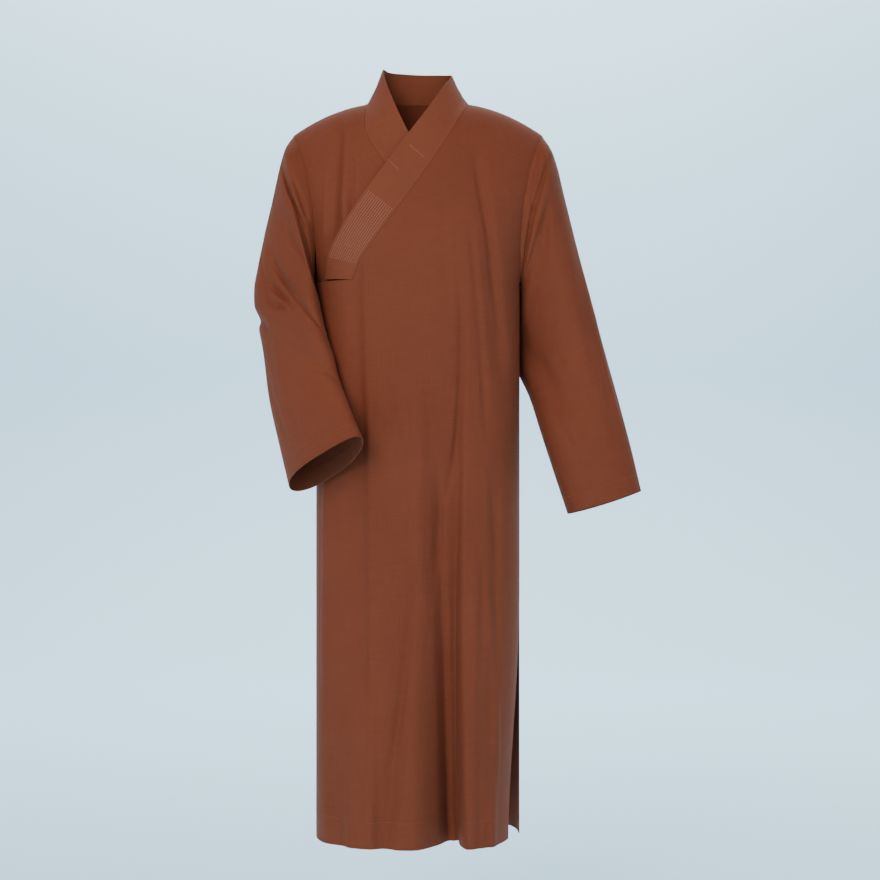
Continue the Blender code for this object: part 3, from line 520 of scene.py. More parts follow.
def fold_bump(distance, left, right):
    """1 in the hollow of a fold, falling to 0 at its left and right widths."""
    share = np.where(distance < 0, -distance / left, distance / right)
    return np.where(share < 1, 0.5 + 0.5 * np.cos(np.pi * np.minimum(share, 1.0)), 0.0)


def folded(points, folds, side):
    """The points of the form with the soft folds of a table pressed in."""
    x, z = points[..., 0], points[..., 2]
    inward = -outward(points, side)
    moved = points.copy()
    for top, bottom, x_top, x_middle, x_bottom, deep_top, deep_bottom, left, right, slip in folds:
        down = np.clip((top - z) / (top - bottom), 0.0, 1.0)
        bow = 2 * (x_top + x_bottom) - 4 * x_middle
        path = x_top + (x_bottom - x_top - bow) * down + bow * down**2
        fade = smooth_step((top - z) / 0.10 + 0.5) * smooth_step((z - bottom) / 0.10)
        deep = (deep_top + (deep_bottom - deep_top) * down**1.6) * fade
        bump = fold_bump(x - path, left, right)
        moved += inward * (deep * bump)[..., None]
        if slip:
            moved[..., 0] += slip * down**2 * bump**2
    return moved


def even_steps(fine, points, count):
    """Values of fine that divide the line through the points into even lengths."""
    run = np.concatenate([[0.0], np.cumsum(np.linalg.norm(np.diff(points, axis=0), axis=1))])
    return np.interp(np.linspace(0, run[-1], count + 1), run, fine)


def chest_levels():
    """Levels of the chest rows, even along the front edge of the armhole."""
    fine = np.linspace(1, 2, FINE_STEPS + 1)
    return even_steps(fine, form_points(1.0, fine, FRONT), CHEST_ROWS)


def even_places(start, end, level, count, folds, side):
    """Places across one row that divide the folded cloth into even lengths."""
    fine = np.linspace(start, end, FINE_STEPS + 1)
    return even_steps(fine, folded(form_points(fine, level, side), folds, side), count)


def seam_clear(points, side):
    """Keeps the front and the back half a seam apart at the shoulders and the sides."""
    points[..., 1] = side * np.fmax(side * points[..., 1], SEAM_GAP / 2)
    return points


def slit_places(level):
    """How far the front reaches towards the side seams: less below the tops of the slits."""
    z = HEM_Z + min(level, 1.0) * (UNDERARM_Z - HEM_Z)
    down = float(smooth_step((SLIT_TOP_Z - z) / (SLIT_TOP_Z - HEM_Z)))
    return -0.992 + 0.030 * down, 1.0 - 0.150 * down


def slit_pull(points, level):
    """Draws the front's left edge inwards where the side slit opens."""
    z = HEM_Z + min(level, 1.0) * (UNDERARM_Z - HEM_Z)
    down = float(smooth_step((SLIT_TOP_Z - z) / (SLIT_TOP_Z - HEM_Z)))
    near = smooth_step((points[..., 0] - 0.105) / 0.06)
    points[..., 0] -= 0.016 * down * near
    return points


def seam_of_band(table):
    """The band's seam on the chest as a smooth line of x and z."""
    return smooth_line([row[:2] for row in table], 60)


def seam_across(seam, level):
    """Where a chest level meets a seam line, as a place across the cloth."""
    levels = [level_of(x, z, FRONT) for x, z in seam]
    order = np.argsort(levels)
    x = float(np.interp(level, np.array(levels)[order], seam[order, 0]))
    return across_of(x, level)


def outer_front_rows():
    """The wearer's left front, which crosses to the right side. Missing corners are NaN."""
    seam = seam_of_band(BAND_OUTER_FRONT + ((0.0640, -0.0400), (NECK_HALF_WIDTH, 0.0)))
    split = across_of(BAND_OUTER_FRONT[0][0], 1.0)
    rows = []
    for level in np.linspace(0, 1, BODY_ROWS + 1):
        right, left = slit_places(level)
        blend = float(smooth_step((1 - level) / 0.35))
        side = even_places(right, split, level, FRONT_SIDE_COLUMNS, FRONT_FOLDS, FRONT)
        straight = np.linspace(split, left, FRONT_COLUMNS + 1)
        even = even_places(split, left, level, FRONT_COLUMNS, FRONT_FOLDS, FRONT)
        places = np.concatenate([side[:-1], straight + (even - straight) * blend])
        row = folded(form_points(places, level, FRONT), FRONT_FOLDS + FRONT_CREASES, FRONT)
        rows.append(slit_pull(row, level))
    for level in chest_levels()[1:]:
        start = seam_across(seam, level)
        places = np.linspace(start, 1, FRONT_COLUMNS + 1)
        row = folded(form_points(places, level, FRONT), FRONT_FOLDS + FRONT_CREASES, FRONT)
        missing = np.full((FRONT_SIDE_COLUMNS, 3), np.nan)
        rows.append(np.vstack([missing, row]))
    return seam_clear(np.array(rows), FRONT)


def lap_sink(points):
    """How far the underlap lies below the outer front: nothing near its own armhole."""
    edge = smooth_line([(row[2], row[3]) for row in BAND_OUTER_FRONT], 60)
    near = np.interp(points[..., 2], edge[:, 1], edge[:, 0])
    under = smooth_step((points[..., 0] - near + 0.034) / 0.030)
    below = smooth_step((UNDERARM_Z + 0.02 - points[..., 2]) / 0.03)
    past_seam = smooth_step((points[..., 0] + HALF_WIDTH - 0.0004) / 0.003)
    return LAP_DEPTH * np.maximum(under, below * past_seam)


def underlap_rows():
    """The wearer's right front, which runs on under the crossed one."""
    seam_table = [row[:2] for row in BAND_INNER_FRONT]
    seam = smooth_line([(-NECK_HALF_WIDTH, 0.0)] + seam_table + [UNDERLAP_EDGE[1]], 80)
    folds = FRONT_FOLDS + LAP_FOLDS + FRONT_CREASES + LAP_CREASES
    rows = []
    low = (INNER_HEM_Z - HEM_Z) / (UNDERARM_Z - HEM_Z)
    for level in np.linspace(low, 1, BODY_ROWS - 2):
        z = HEM_Z + level * (UNDERARM_Z - HEM_Z)
        x = float(column_at([(z, x) for x, z in UNDERLAP_EDGE], 1, z))
        places = np.linspace(-0.94, across_of(x, level), UNDERLAP_COLUMNS)
        places = np.concatenate([[-1.0], places])
        rows.append(folded(form_points(places, level, FRONT), folds, FRONT))
    for level in chest_levels()[1:]:
        first = -0.94 + 0.03 * (level - 1)
        places = np.linspace(first, seam_across(seam, level), UNDERLAP_COLUMNS)
        places = np.concatenate([[-1.0], places])
        rows.append(folded(form_points(places, level, FRONT), folds, FRONT))
    rows = np.array(rows)
    return seam_clear(rows - outward(rows, FRONT) * lap_sink(rows)[..., None], FRONT)


def back_rows():
    """The back, cut round the neck at its top."""
    neck = across_of(NECK_HALF_WIDTH, 2.0)
    across = np.concatenate(
        [
            np.linspace(-1, -neck, BACK_SIDE_COLUMNS + 1)[:-1],
            -neck * np.cos(np.linspace(0, math.pi, NECK_COLUMNS + 1)),
            np.linspace(neck, 1, BACK_SIDE_COLUMNS + 1)[1:],
        ]
    )
    dip = BACK_NECK_DIP * np.sqrt(np.clip(1 - (across / neck) ** 2, 0, 1))
    rows = [np.full_like(across, level) for level in np.linspace(0, 1, BODY_ROWS + 1)]
    for level in chest_levels()[1:]:
        rows.append(1 + (level - 1) * (1 - dip))
    points = [folded(form_points(across, row, BACK), BACK_FOLDS + BACK_CREASES, BACK) for row in rows]
    return seam_clear(np.array(points), BACK)


def armhole_ring(hand):
    """The armhole loop from the shoulder tip down the front and up the back."""
    levels = chest_levels()
    front = [form_points(hand, level, FRONT) for level in levels[::-1]]
    back = [form_points(hand, level, BACK) for level in levels[1:-1]]
    return np.array(front + back)


def section_ring(row):
    """One sleeve section: a soft ring through its outer, front, inner and back sides."""
    outer, inner = np.array(row[0:3]), np.array(row[3:6])
    front, back, sag, tilt = row[6:10]
    middle = (outer + inner) / 2
    half = (outer - inner) / 2
    down = np.array((0.0, 0.0, -1.0))
    deep = np.cross(half * (1.0, 0.0, 1.0), down)
    deep /= np.linalg.norm(deep)
    if deep[1] > 0:
        deep = -deep

    def ring(turn):
        along_half = signed_power(np.cos(turn), SLEEVE_SQUARENESS)[:, None]
        along_deep = signed_power(np.sin(turn), SLEEVE_SQUARENESS)[:, None]
        reach = np.where(along_deep > 0, front, back)
        lowered = sag * (1 - along_half**2) - tilt * along_deep
        return middle + half * along_half + deep * along_deep * reach + down * lowered

    fine = np.linspace(0, np.pi, FINE_STEPS + 1)
    before = even_steps(fine, ring(fine), SLEEVE_COLUMNS // 2)
    after = even_steps(fine + np.pi, ring(fine + np.pi), SLEEVE_COLUMNS // 2)
    return ring(np.concatenate([before, after[1:-1]]))


def clear_of_body(points):
    """Presses a sleeve flat against the hanging body where it would pass through it."""
    depth = np.where(
        points[..., 1] < 0, half_depth(points[..., 2], FRONT), half_depth(points[..., 2], BACK)
    )
    power = 2 / SQUARENESS
    width, depth = HALF_WIDTH + BODY_CLEARANCE, depth + BODY_CLEARANCE
    inside = (np.abs(points[..., 0]) / width) ** power + (np.abs(points[..., 1]) / depth) ** power
    push = np.maximum(1.0, 1 / np.maximum(inside, 0.05) ** (1 / power))
    below = smooth_step((UNDERARM_Z + 0.03 - points[..., 2]) / 0.05)
    push = 1 + (push - 1) * below
    moved = points.copy()
    moved[..., 0] *= push
    moved[..., 1] *= push
    return moved


def pressed(rows, folds, start_over):
    """The rows of a sleeve with a table of folds pressed in, from its seam on."""
    lengths = np.linalg.norm(np.diff(rows.mean(axis=1), axis=0), axis=1)
    along = np.concatenate([[0.0], np.cumsum(lengths)]) / lengths.sum()
    round_sleeve = np.arange(SLEEVE_COLUMNS) * 360 / SLEEVE_COLUMNS
    out = rows - rows.mean(axis=1, keepdims=True)
    girth = np.linalg.norm(out, axis=2).mean()
    out /= np.linalg.norm(out, axis=2, keepdims=True)
    reach = lengths.sum()
    for along_1, round_1, along_2, round_2, width, deep in folds:
        turn = (round_2 - round_1 + 180) % 360 - 180
        place = np.stack(
            np.broadcast_arrays(
                (along[:, None] - along_1) * reach,
                np.radians((round_sleeve[None, :] - round_1 + 180) % 360 - 180) * girth,
            ),
            axis=-1,
        )
        line = np.array([(along_2 - along_1) * reach, math.radians(turn) * girth])
        share = np.clip(place @ line / (line @ line), 0, 1)
        gap = np.linalg.norm(place - share[..., None] * line, axis=-1)
        taper = np.sin(np.pi * (0.15 + 0.7 * share))
        start = smooth_step(along / start_over)[:, None]
        rows = rows - out * (deep * taper * np.exp(-((gap / width) ** 2)) * start)[..., None]
    return rows


def sleeve_rows(sections, folds, hand, creases):
    """A sleeve from the armhole seam to its cuff, as rows of closed rings."""
    rings = [armhole_ring(hand)] + [section_ring(row) for row in sections]
    rings[0][:, 0] += hand * SEAM_GAP
    rows = smooth_line(rings, SLEEVE_ROWS + 1)
    lengths = np.linalg.norm(np.diff(rows.mean(axis=1), axis=0), axis=1)
    along = np.concatenate([[0.0], np.cumsum(lengths)]) / lengths.sum()
    rows = clear_of_body(pressed(rows, folds, 0.06))
    round_sleeve = np.arange(SLEEVE_COLUMNS) * 360 / SLEEVE_COLUMNS
    below = smooth_step((np.minimum(round_sleeve, 360 - round_sleeve) - 50) / 50)
    near = (1 - smooth_step((along - 0.35) / 0.15))[:, None] * below
    for _ in range(SOFTENING):
        beside = (np.roll(rows, 1, axis=1) + np.roll(rows, -1, axis=1)) / 2
        soft = rows.copy()
        soft[1:-1] = rows[1:-1] / 2 + (rows[:-2] + rows[2:]) / 8 + beside[1:-1] / 4
        rows = rows + (soft - rows) * near[..., None]
    return clear_of_body(pressed(rows, creases, 0.03))


def neckline(outer_front, back, underlap):
    """The neck edge of the panels, from the outer front's underarm round the neck and down."""
    chest = slice(BODY_ROWS, BODY_ROWS + CHEST_ROWS + 1)
    neck = slice(BACK_SIDE_COLUMNS, BACK_SIDE_COLUMNS + NECK_COLUMNS + 1)
    down_left = outer_front[chest, FRONT_SIDE_COLUMNS]
    round_neck = back[-1, neck][::-1]
    down_right = underlap[-CHEST_ROWS - 1 :, -1][::-1]
    return np.vstack([down_left, round_neck[1:-1], down_right])


def band_control(row, lift):
    """One row of points across the band where it lies on the chest."""
    seam_x, seam_z, edge_x, edge_z = row
    points = []
    for share in np.linspace(0, 1, BAND_COLUMNS + 1):
        x, z = seam_x + (edge_x - seam_x) * share, seam_z + (edge_z - seam_z) * share
        level = level_of(x, z, FRONT) if z > UNDERARM_Z else 1.0
        point = form_points(across_of(x, level), level, FRONT)
        point[2] = z
        points.append(point + outward(point, FRONT) * lift)
    return np.array(points)


def band_rows(line):
    """The collar band, sewn along the panels' neck edge, with stations at its corners."""
    proud = BAND_WALL - CLOTH_WALL
    controls = [band_control(row, proud) for row in BAND_OUTER_FRONT]
    for row in BAND_NECK:
        seam, edge = np.array(row[:3]), np.array(row[3:])
        shares = np.linspace(0, 1, BAND_COLUMNS + 1)[:, None]
        controls.append(seam + (edge - seam) * shares)
    for index, row in enumerate(BAND_INNER_FRONT):
        sink = LAP_DEPTH * float(smooth_step((index + 0.4) / 1.4))
        controls.append(band_control(row, -sink))
    dense = smooth_line(controls, 600)
    run = np.concatenate([[0.0], np.cumsum(np.linalg.norm(np.diff(line, axis=0), axis=1))])
    # Where each smooth row meets the neck edge, measured along the edge.
    places = []
    for point in dense[:, 0]:
        step = np.diff(line, axis=0)
        share = np.einsum("ij,ij->i", point - line[:-1], step) / np.einsum("ij,ij->i", step, step)
        share = np.clip(share, 0, 1)
        gap = np.linalg.norm(line[:-1] + step * share[:, None] - point, axis=1)
        best = int(np.argmin(gap))
        places.append(run[best] + share[best] * (run[best + 1] - run[best]))
    places = np.maximum.accumulate(np.array(places) + np.arange(len(places)) * 1e-7)
    pace = (dense[9] - dense[0]) / (places[9] - places[0])
    dense = np.concatenate([(dense[0] - pace * places[0])[None], dense])
    places = np.concatenate([[0.0], places])
    stations = run[run <= places[-1]]
    rows = []
    for station in stations:
        flat = dense.reshape(len(dense), -1)
        rows.append([np.interp(station, places, column) for column in flat.T])
    rows = np.array(rows).reshape(len(stations), BAND_COLUMNS + 1, 3)
    seam = line[: len(stations)]
    quarter = BAND_COLUMNS // 4
    across = rows[:, quarter] - seam
    across /= np.linalg.norm(across, axis=1, keepdims=True)
    fade = np.clip(1 - np.arange(BAND_COLUMNS + 1) / quarter, 0, 1)[None, :, None]
    return rows + (seam + across * BAND_GAP - rows[:, 0])[:, None] * fade


def faces_of(rows, closed, flip):
    """Corner numbers of each four-sided face of a grid, leaving out missing corners."""
    count = rows.shape[1]
    there = ~np.isnan(rows[..., 0])
    faces = []
    for row in range(rows.shape[0] - 1):
        for column in range(count if closed else count - 1):
            beside = (column + 1) % count
            keys = [(row, column), (row, beside), (row + 1, beside), (row + 1, column)]
            if all(there[key] for key in keys):
                face = [r * count + c for r, c in keys]
                faces.append(face[::-1] if flip else face)
    return np.array(faces)


def grid_lengths(rows, closed):
    """The cloth's own width and length at each point of a grid, in metres, for its weave."""
    filled = rows.copy()
    for row in filled:
        missing = np.isnan(row[:, 0])
        if missing.any():
            row[missing] = row[~missing][0]
    around = np.linalg.norm(np.diff(filled, axis=1), axis=2)
    across = np.concatenate([np.zeros((len(rows), 1)), np.cumsum(around, axis=1)], axis=1)
    middle = int(np.argmin(np.abs(filled[0, :, 0]))) if not closed else 0
    across = across - across[:, middle: middle + 1]
    down = np.linalg.norm(np.diff(filled, axis=0), axis=2).mean(axis=1)
    along = np.concatenate([[0.0], np.cumsum(down)])[:, None] + np.zeros_like(across)
    return np.stack([across, along], axis=-1)


def cloth_sheet(name, rows, wall=SHOWN_WALL, closed=False, flip=False, hem=None):
    """A cloth surface with its wall's directions. Hem gives each point's extra wall."""
    points = rows.reshape(-1, 3)
    faces = faces_of(rows, closed, flip)
    first = points[faces[:, 2]] - points[faces[:, 0]]
    second = points[faces[:, 3]] - points[faces[:, 1]]
    normals = np.zeros_like(points)
    across = np.cross(first, second)
    across /= np.linalg.norm(across, axis=1, keepdims=True)
    for corner in range(4):
        np.add.at(normals, faces[:, corner], across)
    normals /= np.maximum(np.linalg.norm(normals, axis=1, keepdims=True), 1e-9)
    ends = np.concatenate([faces[:, [k, (k + 1) % 4]] for k in range(4)])
    keys = np.sort(ends, axis=1)
    _, index, count = np.unique(keys, axis=0, return_inverse=True, return_counts=True)
    rim = ends[count[index.reshape(-1)] == 1]
    walls = np.full(len(points), wall)
    if hem is not None:
        walls += hem.reshape(-1)
    return {
        "name": name,
        "rows": rows,
        "points": points,
        "normals": normals,
        "faces": faces,
        "rim": rim,
        "wall": walls,
        "cloth": grid_lengths(rows, closed).reshape(-1, 2),
        "closed": closed,
    }


def mitre_seams(sheets):
    """Gives the points where sheets meet the mean of their wall directions."""
    places = [(piece, index) for piece in sheets for index in np.unique(piece["rim"])]
    tree = kdtree.KDTree(len(places))
    for number, (piece, index) in enumerate(places):
        tree.insert(piece["points"][index], number)
    tree.balance()
    shared = []
    for piece, index in places:
        own = piece["normals"][index]
        total = own.copy()
        for _, number, _ in tree.find_range(piece["points"][index], SEAM_REACH):
            other, there = places[number]
            normal = other["normals"][there]
            if other is not piece and normal @ own > 0.15:
                total += normal
        if abs(piece["points"][index][1]) < SEAM_GAP:
            total[1] = 0.0
        shared.append(total / np.linalg.norm(total))
    for (piece, index), normal in zip(places, shared):
        piece["normals"][index] = normal


def rim_pull(piece):
    """The direction from each rim point into its own cloth."""
    pull = np.zeros_like(piece["points"])
    a, b = piece["rim"][:, 0], piece["rim"][:, 1]
    step = piece["points"][b] - piece["points"][a]
    into = np.cross(piece["normals"][a] + piece["normals"][b], step)
    into /= np.maximum(np.linalg.norm(into, axis=1, keepdims=True), 1e-12)
    np.add.at(pull, a, into)
    np.add.at(pull, b, into)
    return pull / np.maximum(np.linalg.norm(pull, axis=1, keepdims=True), 1e-9)


def add_cloth(piece, material, node):
    """The closed cloth of a sheet: outer and inner faces with a rounded turned edge between."""
    used = np.unique(piece["faces"])
    number = np.full(len(piece["points"]), -1)
    number[used] = np.arange(len(used))
    count = len(used)
    outer = piece["points"][used]
    walls = piece["wall"][used][:, None]
    inner = outer - piece["normals"][used] * walls
    pull = rim_pull(piece)[used] * walls * EDGE_ROUND
    rim_points = np.unique(number[piece["rim"]])
    middle = (outer[rim_points] + inner[rim_points]) / 2
    middle_number = np.full(count, -1)
    middle_number[rim_points] = 2 * count + np.arange(len(rim_points))
    outer = outer + pull
    inner = inner + pull
    quads = number[piece["faces"]]
    a, b = number[piece["rim"][:, 0]], number[piece["rim"][:, 1]]
    upper = np.stack([b, a, middle_number[a], middle_number[b]], axis=1)
    lower = np.stack([middle_number[b], middle_number[a], a + count, b + count], axis=1)
    faces = np.concatenate([quads, quads[:, ::-1] + count, upper, lower])
    mesh = bpy.data.meshes.new(piece["name"])
    mesh.from_pydata(np.vstack([outer, inner, middle]).tolist(), [], faces.tolist())
    mesh.update()
    mesh.shade_smooth()
    sharp = {frozenset((int(p), int(q))) for p, q in zip(a, b)}
    sharp |= {frozenset((int(p) + count, int(q) + count)) for p, q in zip(a, b)}
    for edge in mesh.edges:
        if frozenset(edge.vertices) in sharp:
            edge.use_edge_sharp = True
    cloth = piece["cloth"][used]
    cloth = np.vstack([cloth, cloth, cloth[rim_points]])
    corners = np.empty(len(mesh.loops), np.int32)
    mesh.loops.foreach_get("vertex_index", corners)
    values = cloth[corners]
    if piece["closed"]:
        starts = np.empty(len(mesh.polygons), np.int32)
        mesh.polygons.foreach_get("loop_start", starts)
        grouped = values[:, 0].reshape(-1, 4)
        wide = grouped.max(axis=1) - grouped.min(axis=1) > 0.1
        girth = piece["cloth"][:, 0].max() * SLEEVE_COLUMNS / (SLEEVE_COLUMNS - 1)
        low = grouped < grouped.max(axis=1, keepdims=True) - 0.1
        grouped[wide[:, None] & low] += girth
        values[:, 0] = grouped.reshape(-1)
    uv = mesh.uv_layers.new(name="cloth")
    uv.data.foreach_set("uv", values.astype(np.float32).ravel())
    mesh.materials.append(material)
    obj = bpy.data.objects.new(piece["name"], mesh)
    bpy.context.scene.collection.objects.link(obj)
    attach(obj, "root")
    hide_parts(node)
    return obj


def hem_walls(rows):
    """Extra wall where the cloth is turned up at the hem."""
    return np.where(rows[..., 2] - HEM_Z < HEM_DEPTH, TURNED_WALL, 0.0)


def cuff_walls(rows):
    """Extra wall where a sleeve is turned in at the cuff."""
    step = np.linalg.norm(np.diff(rows, axis=0), axis=2).mean(axis=1)
    left = np.concatenate([np.cumsum(step[::-1])[::-1], [0.0]])
    return np.broadcast_to(np.where(left < CUFF_DEPTH, TURNED_WALL, 0.0)[:, None], rows.shape[:2])


def on_sheet(piece, row_places, column_places):
    """Points on a sheet's outer face, by row and column numbers that may lie between lines."""
    rows, count = piece["rows"], piece["rows"].shape[1]
    r = np.clip(np.asarray(row_places, float), 0, len(rows) - 1.001)
    c = np.asarray(column_places, float)
    c = c % count if piece["closed"] else np.clip(c, 0, count - 1.001)
    r0, c0 = r.astype(int), c.astype(int)
    rs, cs = (r - r0)[:, None], (c - c0)[:, None]
    c1 = (c0 + 1) % count if piece["closed"] else c0 + 1
    low = rows[r0, c0] * (1 - cs) + rows[r0, c1] * cs
    high = rows[r0 + 1, c0] * (1 - cs) + rows[r0 + 1, c1] * cs
    return low * (1 - rs) + high * rs


def stitch_tree():
    """Short raised stitches of even length along every line of the mesh."""
    tree = bpy.data.node_groups.new("stitch_rows", "GeometryNodeTree")
    face = tree.interface
    face.new_socket("Geometry", in_out="INPUT", socket_type="NodeSocketGeometry")
    for name, value in (("Spacing", 0.004), ("Length", 0.0026), ("Thickness", 0.0005)):
        socket = face.new_socket(name, in_out="INPUT", socket_type="NodeSocketFloat")
        socket.default_value = value
    face.new_socket("Thread", in_out="INPUT", socket_type="NodeSocketMaterial")
    face.new_socket("Geometry", in_out="OUTPUT", socket_type="NodeSocketGeometry")
    nodes, links = tree.nodes, tree.links
    given = nodes.new("NodeGroupInput")
    result = nodes.new("NodeGroupOutput")
    line = nodes.new("GeometryNodeMeshToCurve")
    even = nodes.new("GeometryNodeResampleCurve")
    even.mode = "LENGTH"
    tangent = nodes.new("GeometryNodeInputTangent")
    turn = nodes.new("FunctionNodeAlignRotationToVector")
    turn.axis = "Z"
    bead = nodes.new("GeometryNodeMeshUVSphere")
    bead.inputs["Segments"].default_value = 6
    bead.inputs["Rings"].default_value = 4
    bead.inputs["Radius"].default_value = 0.5
    size = nodes.new("ShaderNodeCombineXYZ")
    place = nodes.new("GeometryNodeInstanceOnPoints")
    whole = nodes.new("GeometryNodeRealizeInstances")
    smooth = nodes.new("GeometryNodeSetShadeSmooth")
    paint = nodes.new("GeometryNodeSetMaterial")
    links.new(given.outputs["Geometry"], line.inputs["Mesh"])
    links.new(line.outputs["Curve"], even.inputs["Curve"])
    links.new(given.outputs["Spacing"], even.inputs["Length"])
    links.new(even.outputs["Curve"], place.inputs["Points"])
    links.new(tangent.outputs["Tangent"], turn.inputs["Vector"])
    links.new(turn.outputs["Rotation"], place.inputs["Rotation"])
    links.new(bead.outputs["Mesh"], place.inputs["Instance"])
    links.new(given.outputs["Thickness"], size.inputs["X"])
    links.new(given.outputs["Thickness"], size.inputs["Y"])
    links.new(given.outputs["Length"], size.inputs["Z"])
    links.new(size.outputs["Vector"], place.inputs["Scale"])
    links.new(place.outputs["Instances"], whole.inputs["Geometry"])
    links.new(whole.outputs["Geometry"], smooth.inputs["Geometry"])
    links.new(smooth.outputs["Geometry"], paint.inputs["Geometry"])
    links.new(given.outputs["Thread"], paint.inputs["Material"])
    links.new(paint.outputs["Geometry"], result.inputs["Geometry"])
    return tree


def sew(name, lines, tree, spacing, length, thickness, thread):
    """One piece of stitches along the lines of points, made a plain mesh."""
    mesh = bpy.data.meshes.new(name + "_lines")
    points, edges = [], []
    for line in lines:
        edges += [(len(points) + k, len(points) + k + 1) for k in range(len(line) - 1)]
        points += [tuple(point) for point in line]
    mesh.from_pydata(points, edges, [])
    guide = bpy.data.objects.new(name + "_lines", mesh)
    bpy.context.scene.collection.objects.link(guide)
    modifier = guide.modifiers.new("stitches", "NODES")
    modifier.node_group = tree
    values = {"Spacing": spacing, "Length": length, "Thickness": thickness, "Thread": thread}
    for item in tree.interface.items_tree:
        if item.in_out == "INPUT" and item.name in values:
            modifier[item.identifier] = values[item.name]
    graph = bpy.context.evaluated_depsgraph_get()
    stitches = bpy.data.meshes.new_from_object(guide.evaluated_get(graph))
    stitches.name = name
    stitches.materials.clear()
    stitches.materials.append(thread)
    stitches.polygons.foreach_set("material_index", [0] * len(stitches.polygons))
    bpy.data.objects.remove(guide, do_unlink=True)
    obj = bpy.data.objects.new(name, stitches)
    bpy.context.scene.collection.objects.link(obj)
    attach(obj, "root")
    return obj


def weave_group():
    """A plain weave: a height for the bump and a mask of thread tone, from the cloth's UV map."""
    group = bpy.data.node_groups.new("plain_weave", "ShaderNodeTree")
    face = group.interface
    face.new_socket("Cloth", in_out="INPUT", socket_type="NodeSocketVector")
    for name, value in (("Threads", 1.0), ("Slub", 1.0)):
        socket = face.new_socket(name, in_out="INPUT", socket_type="NodeSocketFloat")
        socket.default_value = value
    face.new_socket("Height", in_out="OUTPUT", socket_type="NodeSocketFloat")
    face.new_socket("Tone", in_out="OUTPUT", socket_type="NodeSocketFloat")
    nodes, links = group.nodes, group.links
    given, result = nodes.new("NodeGroupInput"), nodes.new("NodeGroupOutput")

    def step(operation, first, second=None, third=None):
        node = nodes.new("ShaderNodeMath")
        node.operation = operation
        for socket, value in zip(node.inputs, (first, second, third)):
            if value is None:
                continue
            if isinstance(value, (int, float)):
                socket.default_value = value
            else:
                links.new(value, socket)
        return node.outputs[0]

    part = nodes.new("ShaderNodeSeparateXYZ")
    links.new(given.outputs["Cloth"], part.inputs[0])
    turns = step("MULTIPLY", given.outputs["Threads"], math.pi * THREADS_PER_METRE)
    warp = step("SINE", step("MULTIPLY", part.outputs["X"], turns))
    weft = step("SINE", step("MULTIPLY", part.outputs["Y"], turns))
    over = step("MULTIPLY", warp, weft)
    ridges = step("ADD", step("ABSOLUTE", warp), step("ABSOLUTE", weft))
    height = step("MULTIPLY_ADD", over, 0.35, step("MULTIPLY", ridges, 0.5))
    links.new(height, result.inputs["Height"])
    tones = []
    for scale_x, scale_y in ((900.0, 26.0), (22.0, 760.0)):
        stretch = nodes.new("ShaderNodeVectorMath")
        stretch.operation = "MULTIPLY"
        stretch.inputs[1].default_value = (scale_x, scale_y, 1.0)
        links.new(given.outputs["Cloth"], stretch.inputs[0])
        noise = nodes.new("ShaderNodeTexNoise")
        noise.inputs["Scale"].default_value = 1.0
        noise.inputs["Detail"].default_value = 2.0
        links.new(stretch.outputs[0], noise.inputs["Vector"])
        tones.append(noise.outputs["Fac"])
    tone = step("MULTIPLY", step("ADD", tones[0], tones[1]), 0.5)
    shade = step("SUBTRACT", tone, 0.5)
    links.new(step("MULTIPLY_ADD", shade, given.outputs["Slub"], 0.5), result.inputs["Tone"])
    return group


def cloth_finish(weave, name, colour, light, slub, rough, sheen):
    """Woven cloth: thread tone, soft wear in patches, sheen and a fine bump."""
    material = bpy.data.materials.new(name)
    material.use_nodes = True
    nodes, links = material.node_tree.nodes, material.node_tree.links
    shader = nodes["Principled BSDF"]
    shader.inputs["Roughness"].default_value = rough
    shader.inputs["Specular IOR Level"].default_value = CLOTH_GLOSS
    shader.inputs["Sheen Weight"].default_value = sheen
    shader.inputs["Sheen Roughness"].default_value = SHEEN_ROUGHNESS
    shader.inputs["Sheen Tint"].default_value = (*SHEEN_TINT, 1.0)
    cloth = nodes.new("ShaderNodeUVMap")
    cloth.uv_map = "cloth"
    group = nodes.new("ShaderNodeGroup")
    group.node_tree = weave
    group.inputs["Slub"].default_value = slub
    links.new(cloth.outputs["UV"], group.inputs["Cloth"])
    place = nodes.new("ShaderNodeTexCoord")
    patch = nodes.new("ShaderNodeTexNoise")
    patch.inputs["Scale"].default_value = 7.0
    patch.inputs["Detail"].default_value = 3.0
    links.new(place.outputs["Object"], patch.inputs["Vector"])
    total = nodes.new("ShaderNodeMath")
    total.operation = "MULTIPLY_ADD"
    total.inputs[1].default_value = 0.35
    links.new(patch.outputs["Fac"], total.inputs[0])
    links.new(group.outputs["Tone"], total.inputs[2])
    ramp = nodes.new("ShaderNodeValToRGB")
    ramp.color_ramp.elements[0].position = 0.42
    ramp.color_ramp.elements[0].color = (*colour, 1.0)
    ramp.color_ramp.elements[1].position = 0.92
    ramp.color_ramp.elements[1].color = (*light, 1.0)
    links.new(total.outputs[0], ramp.inputs["Fac"])
    links.new(ramp.outputs["Color"], shader.inputs["Base Color"])
    raised = nodes.new("ShaderNodeBump")
    raised.inputs["Strength"].default_value = WEAVE_BUMP
    raised.inputs["Distance"].default_value = WEAVE_RELIEF
    links.new(group.outputs["Height"], raised.inputs["Height"])
    links.new(raised.outputs["Normal"], shader.inputs["Normal"])
    return material


def plain_finish(name, colour, rough):
    """An even matte finish, for thread and the studio floor."""
    material = bpy.data.materials.new(name)
    material.use_nodes = True
    shader = material.node_tree.nodes["Principled BSDF"]
    shader.inputs["Base Color"].default_value = (*colour, 1.0)
    shader.inputs["Roughness"].default_value = rough
    return material


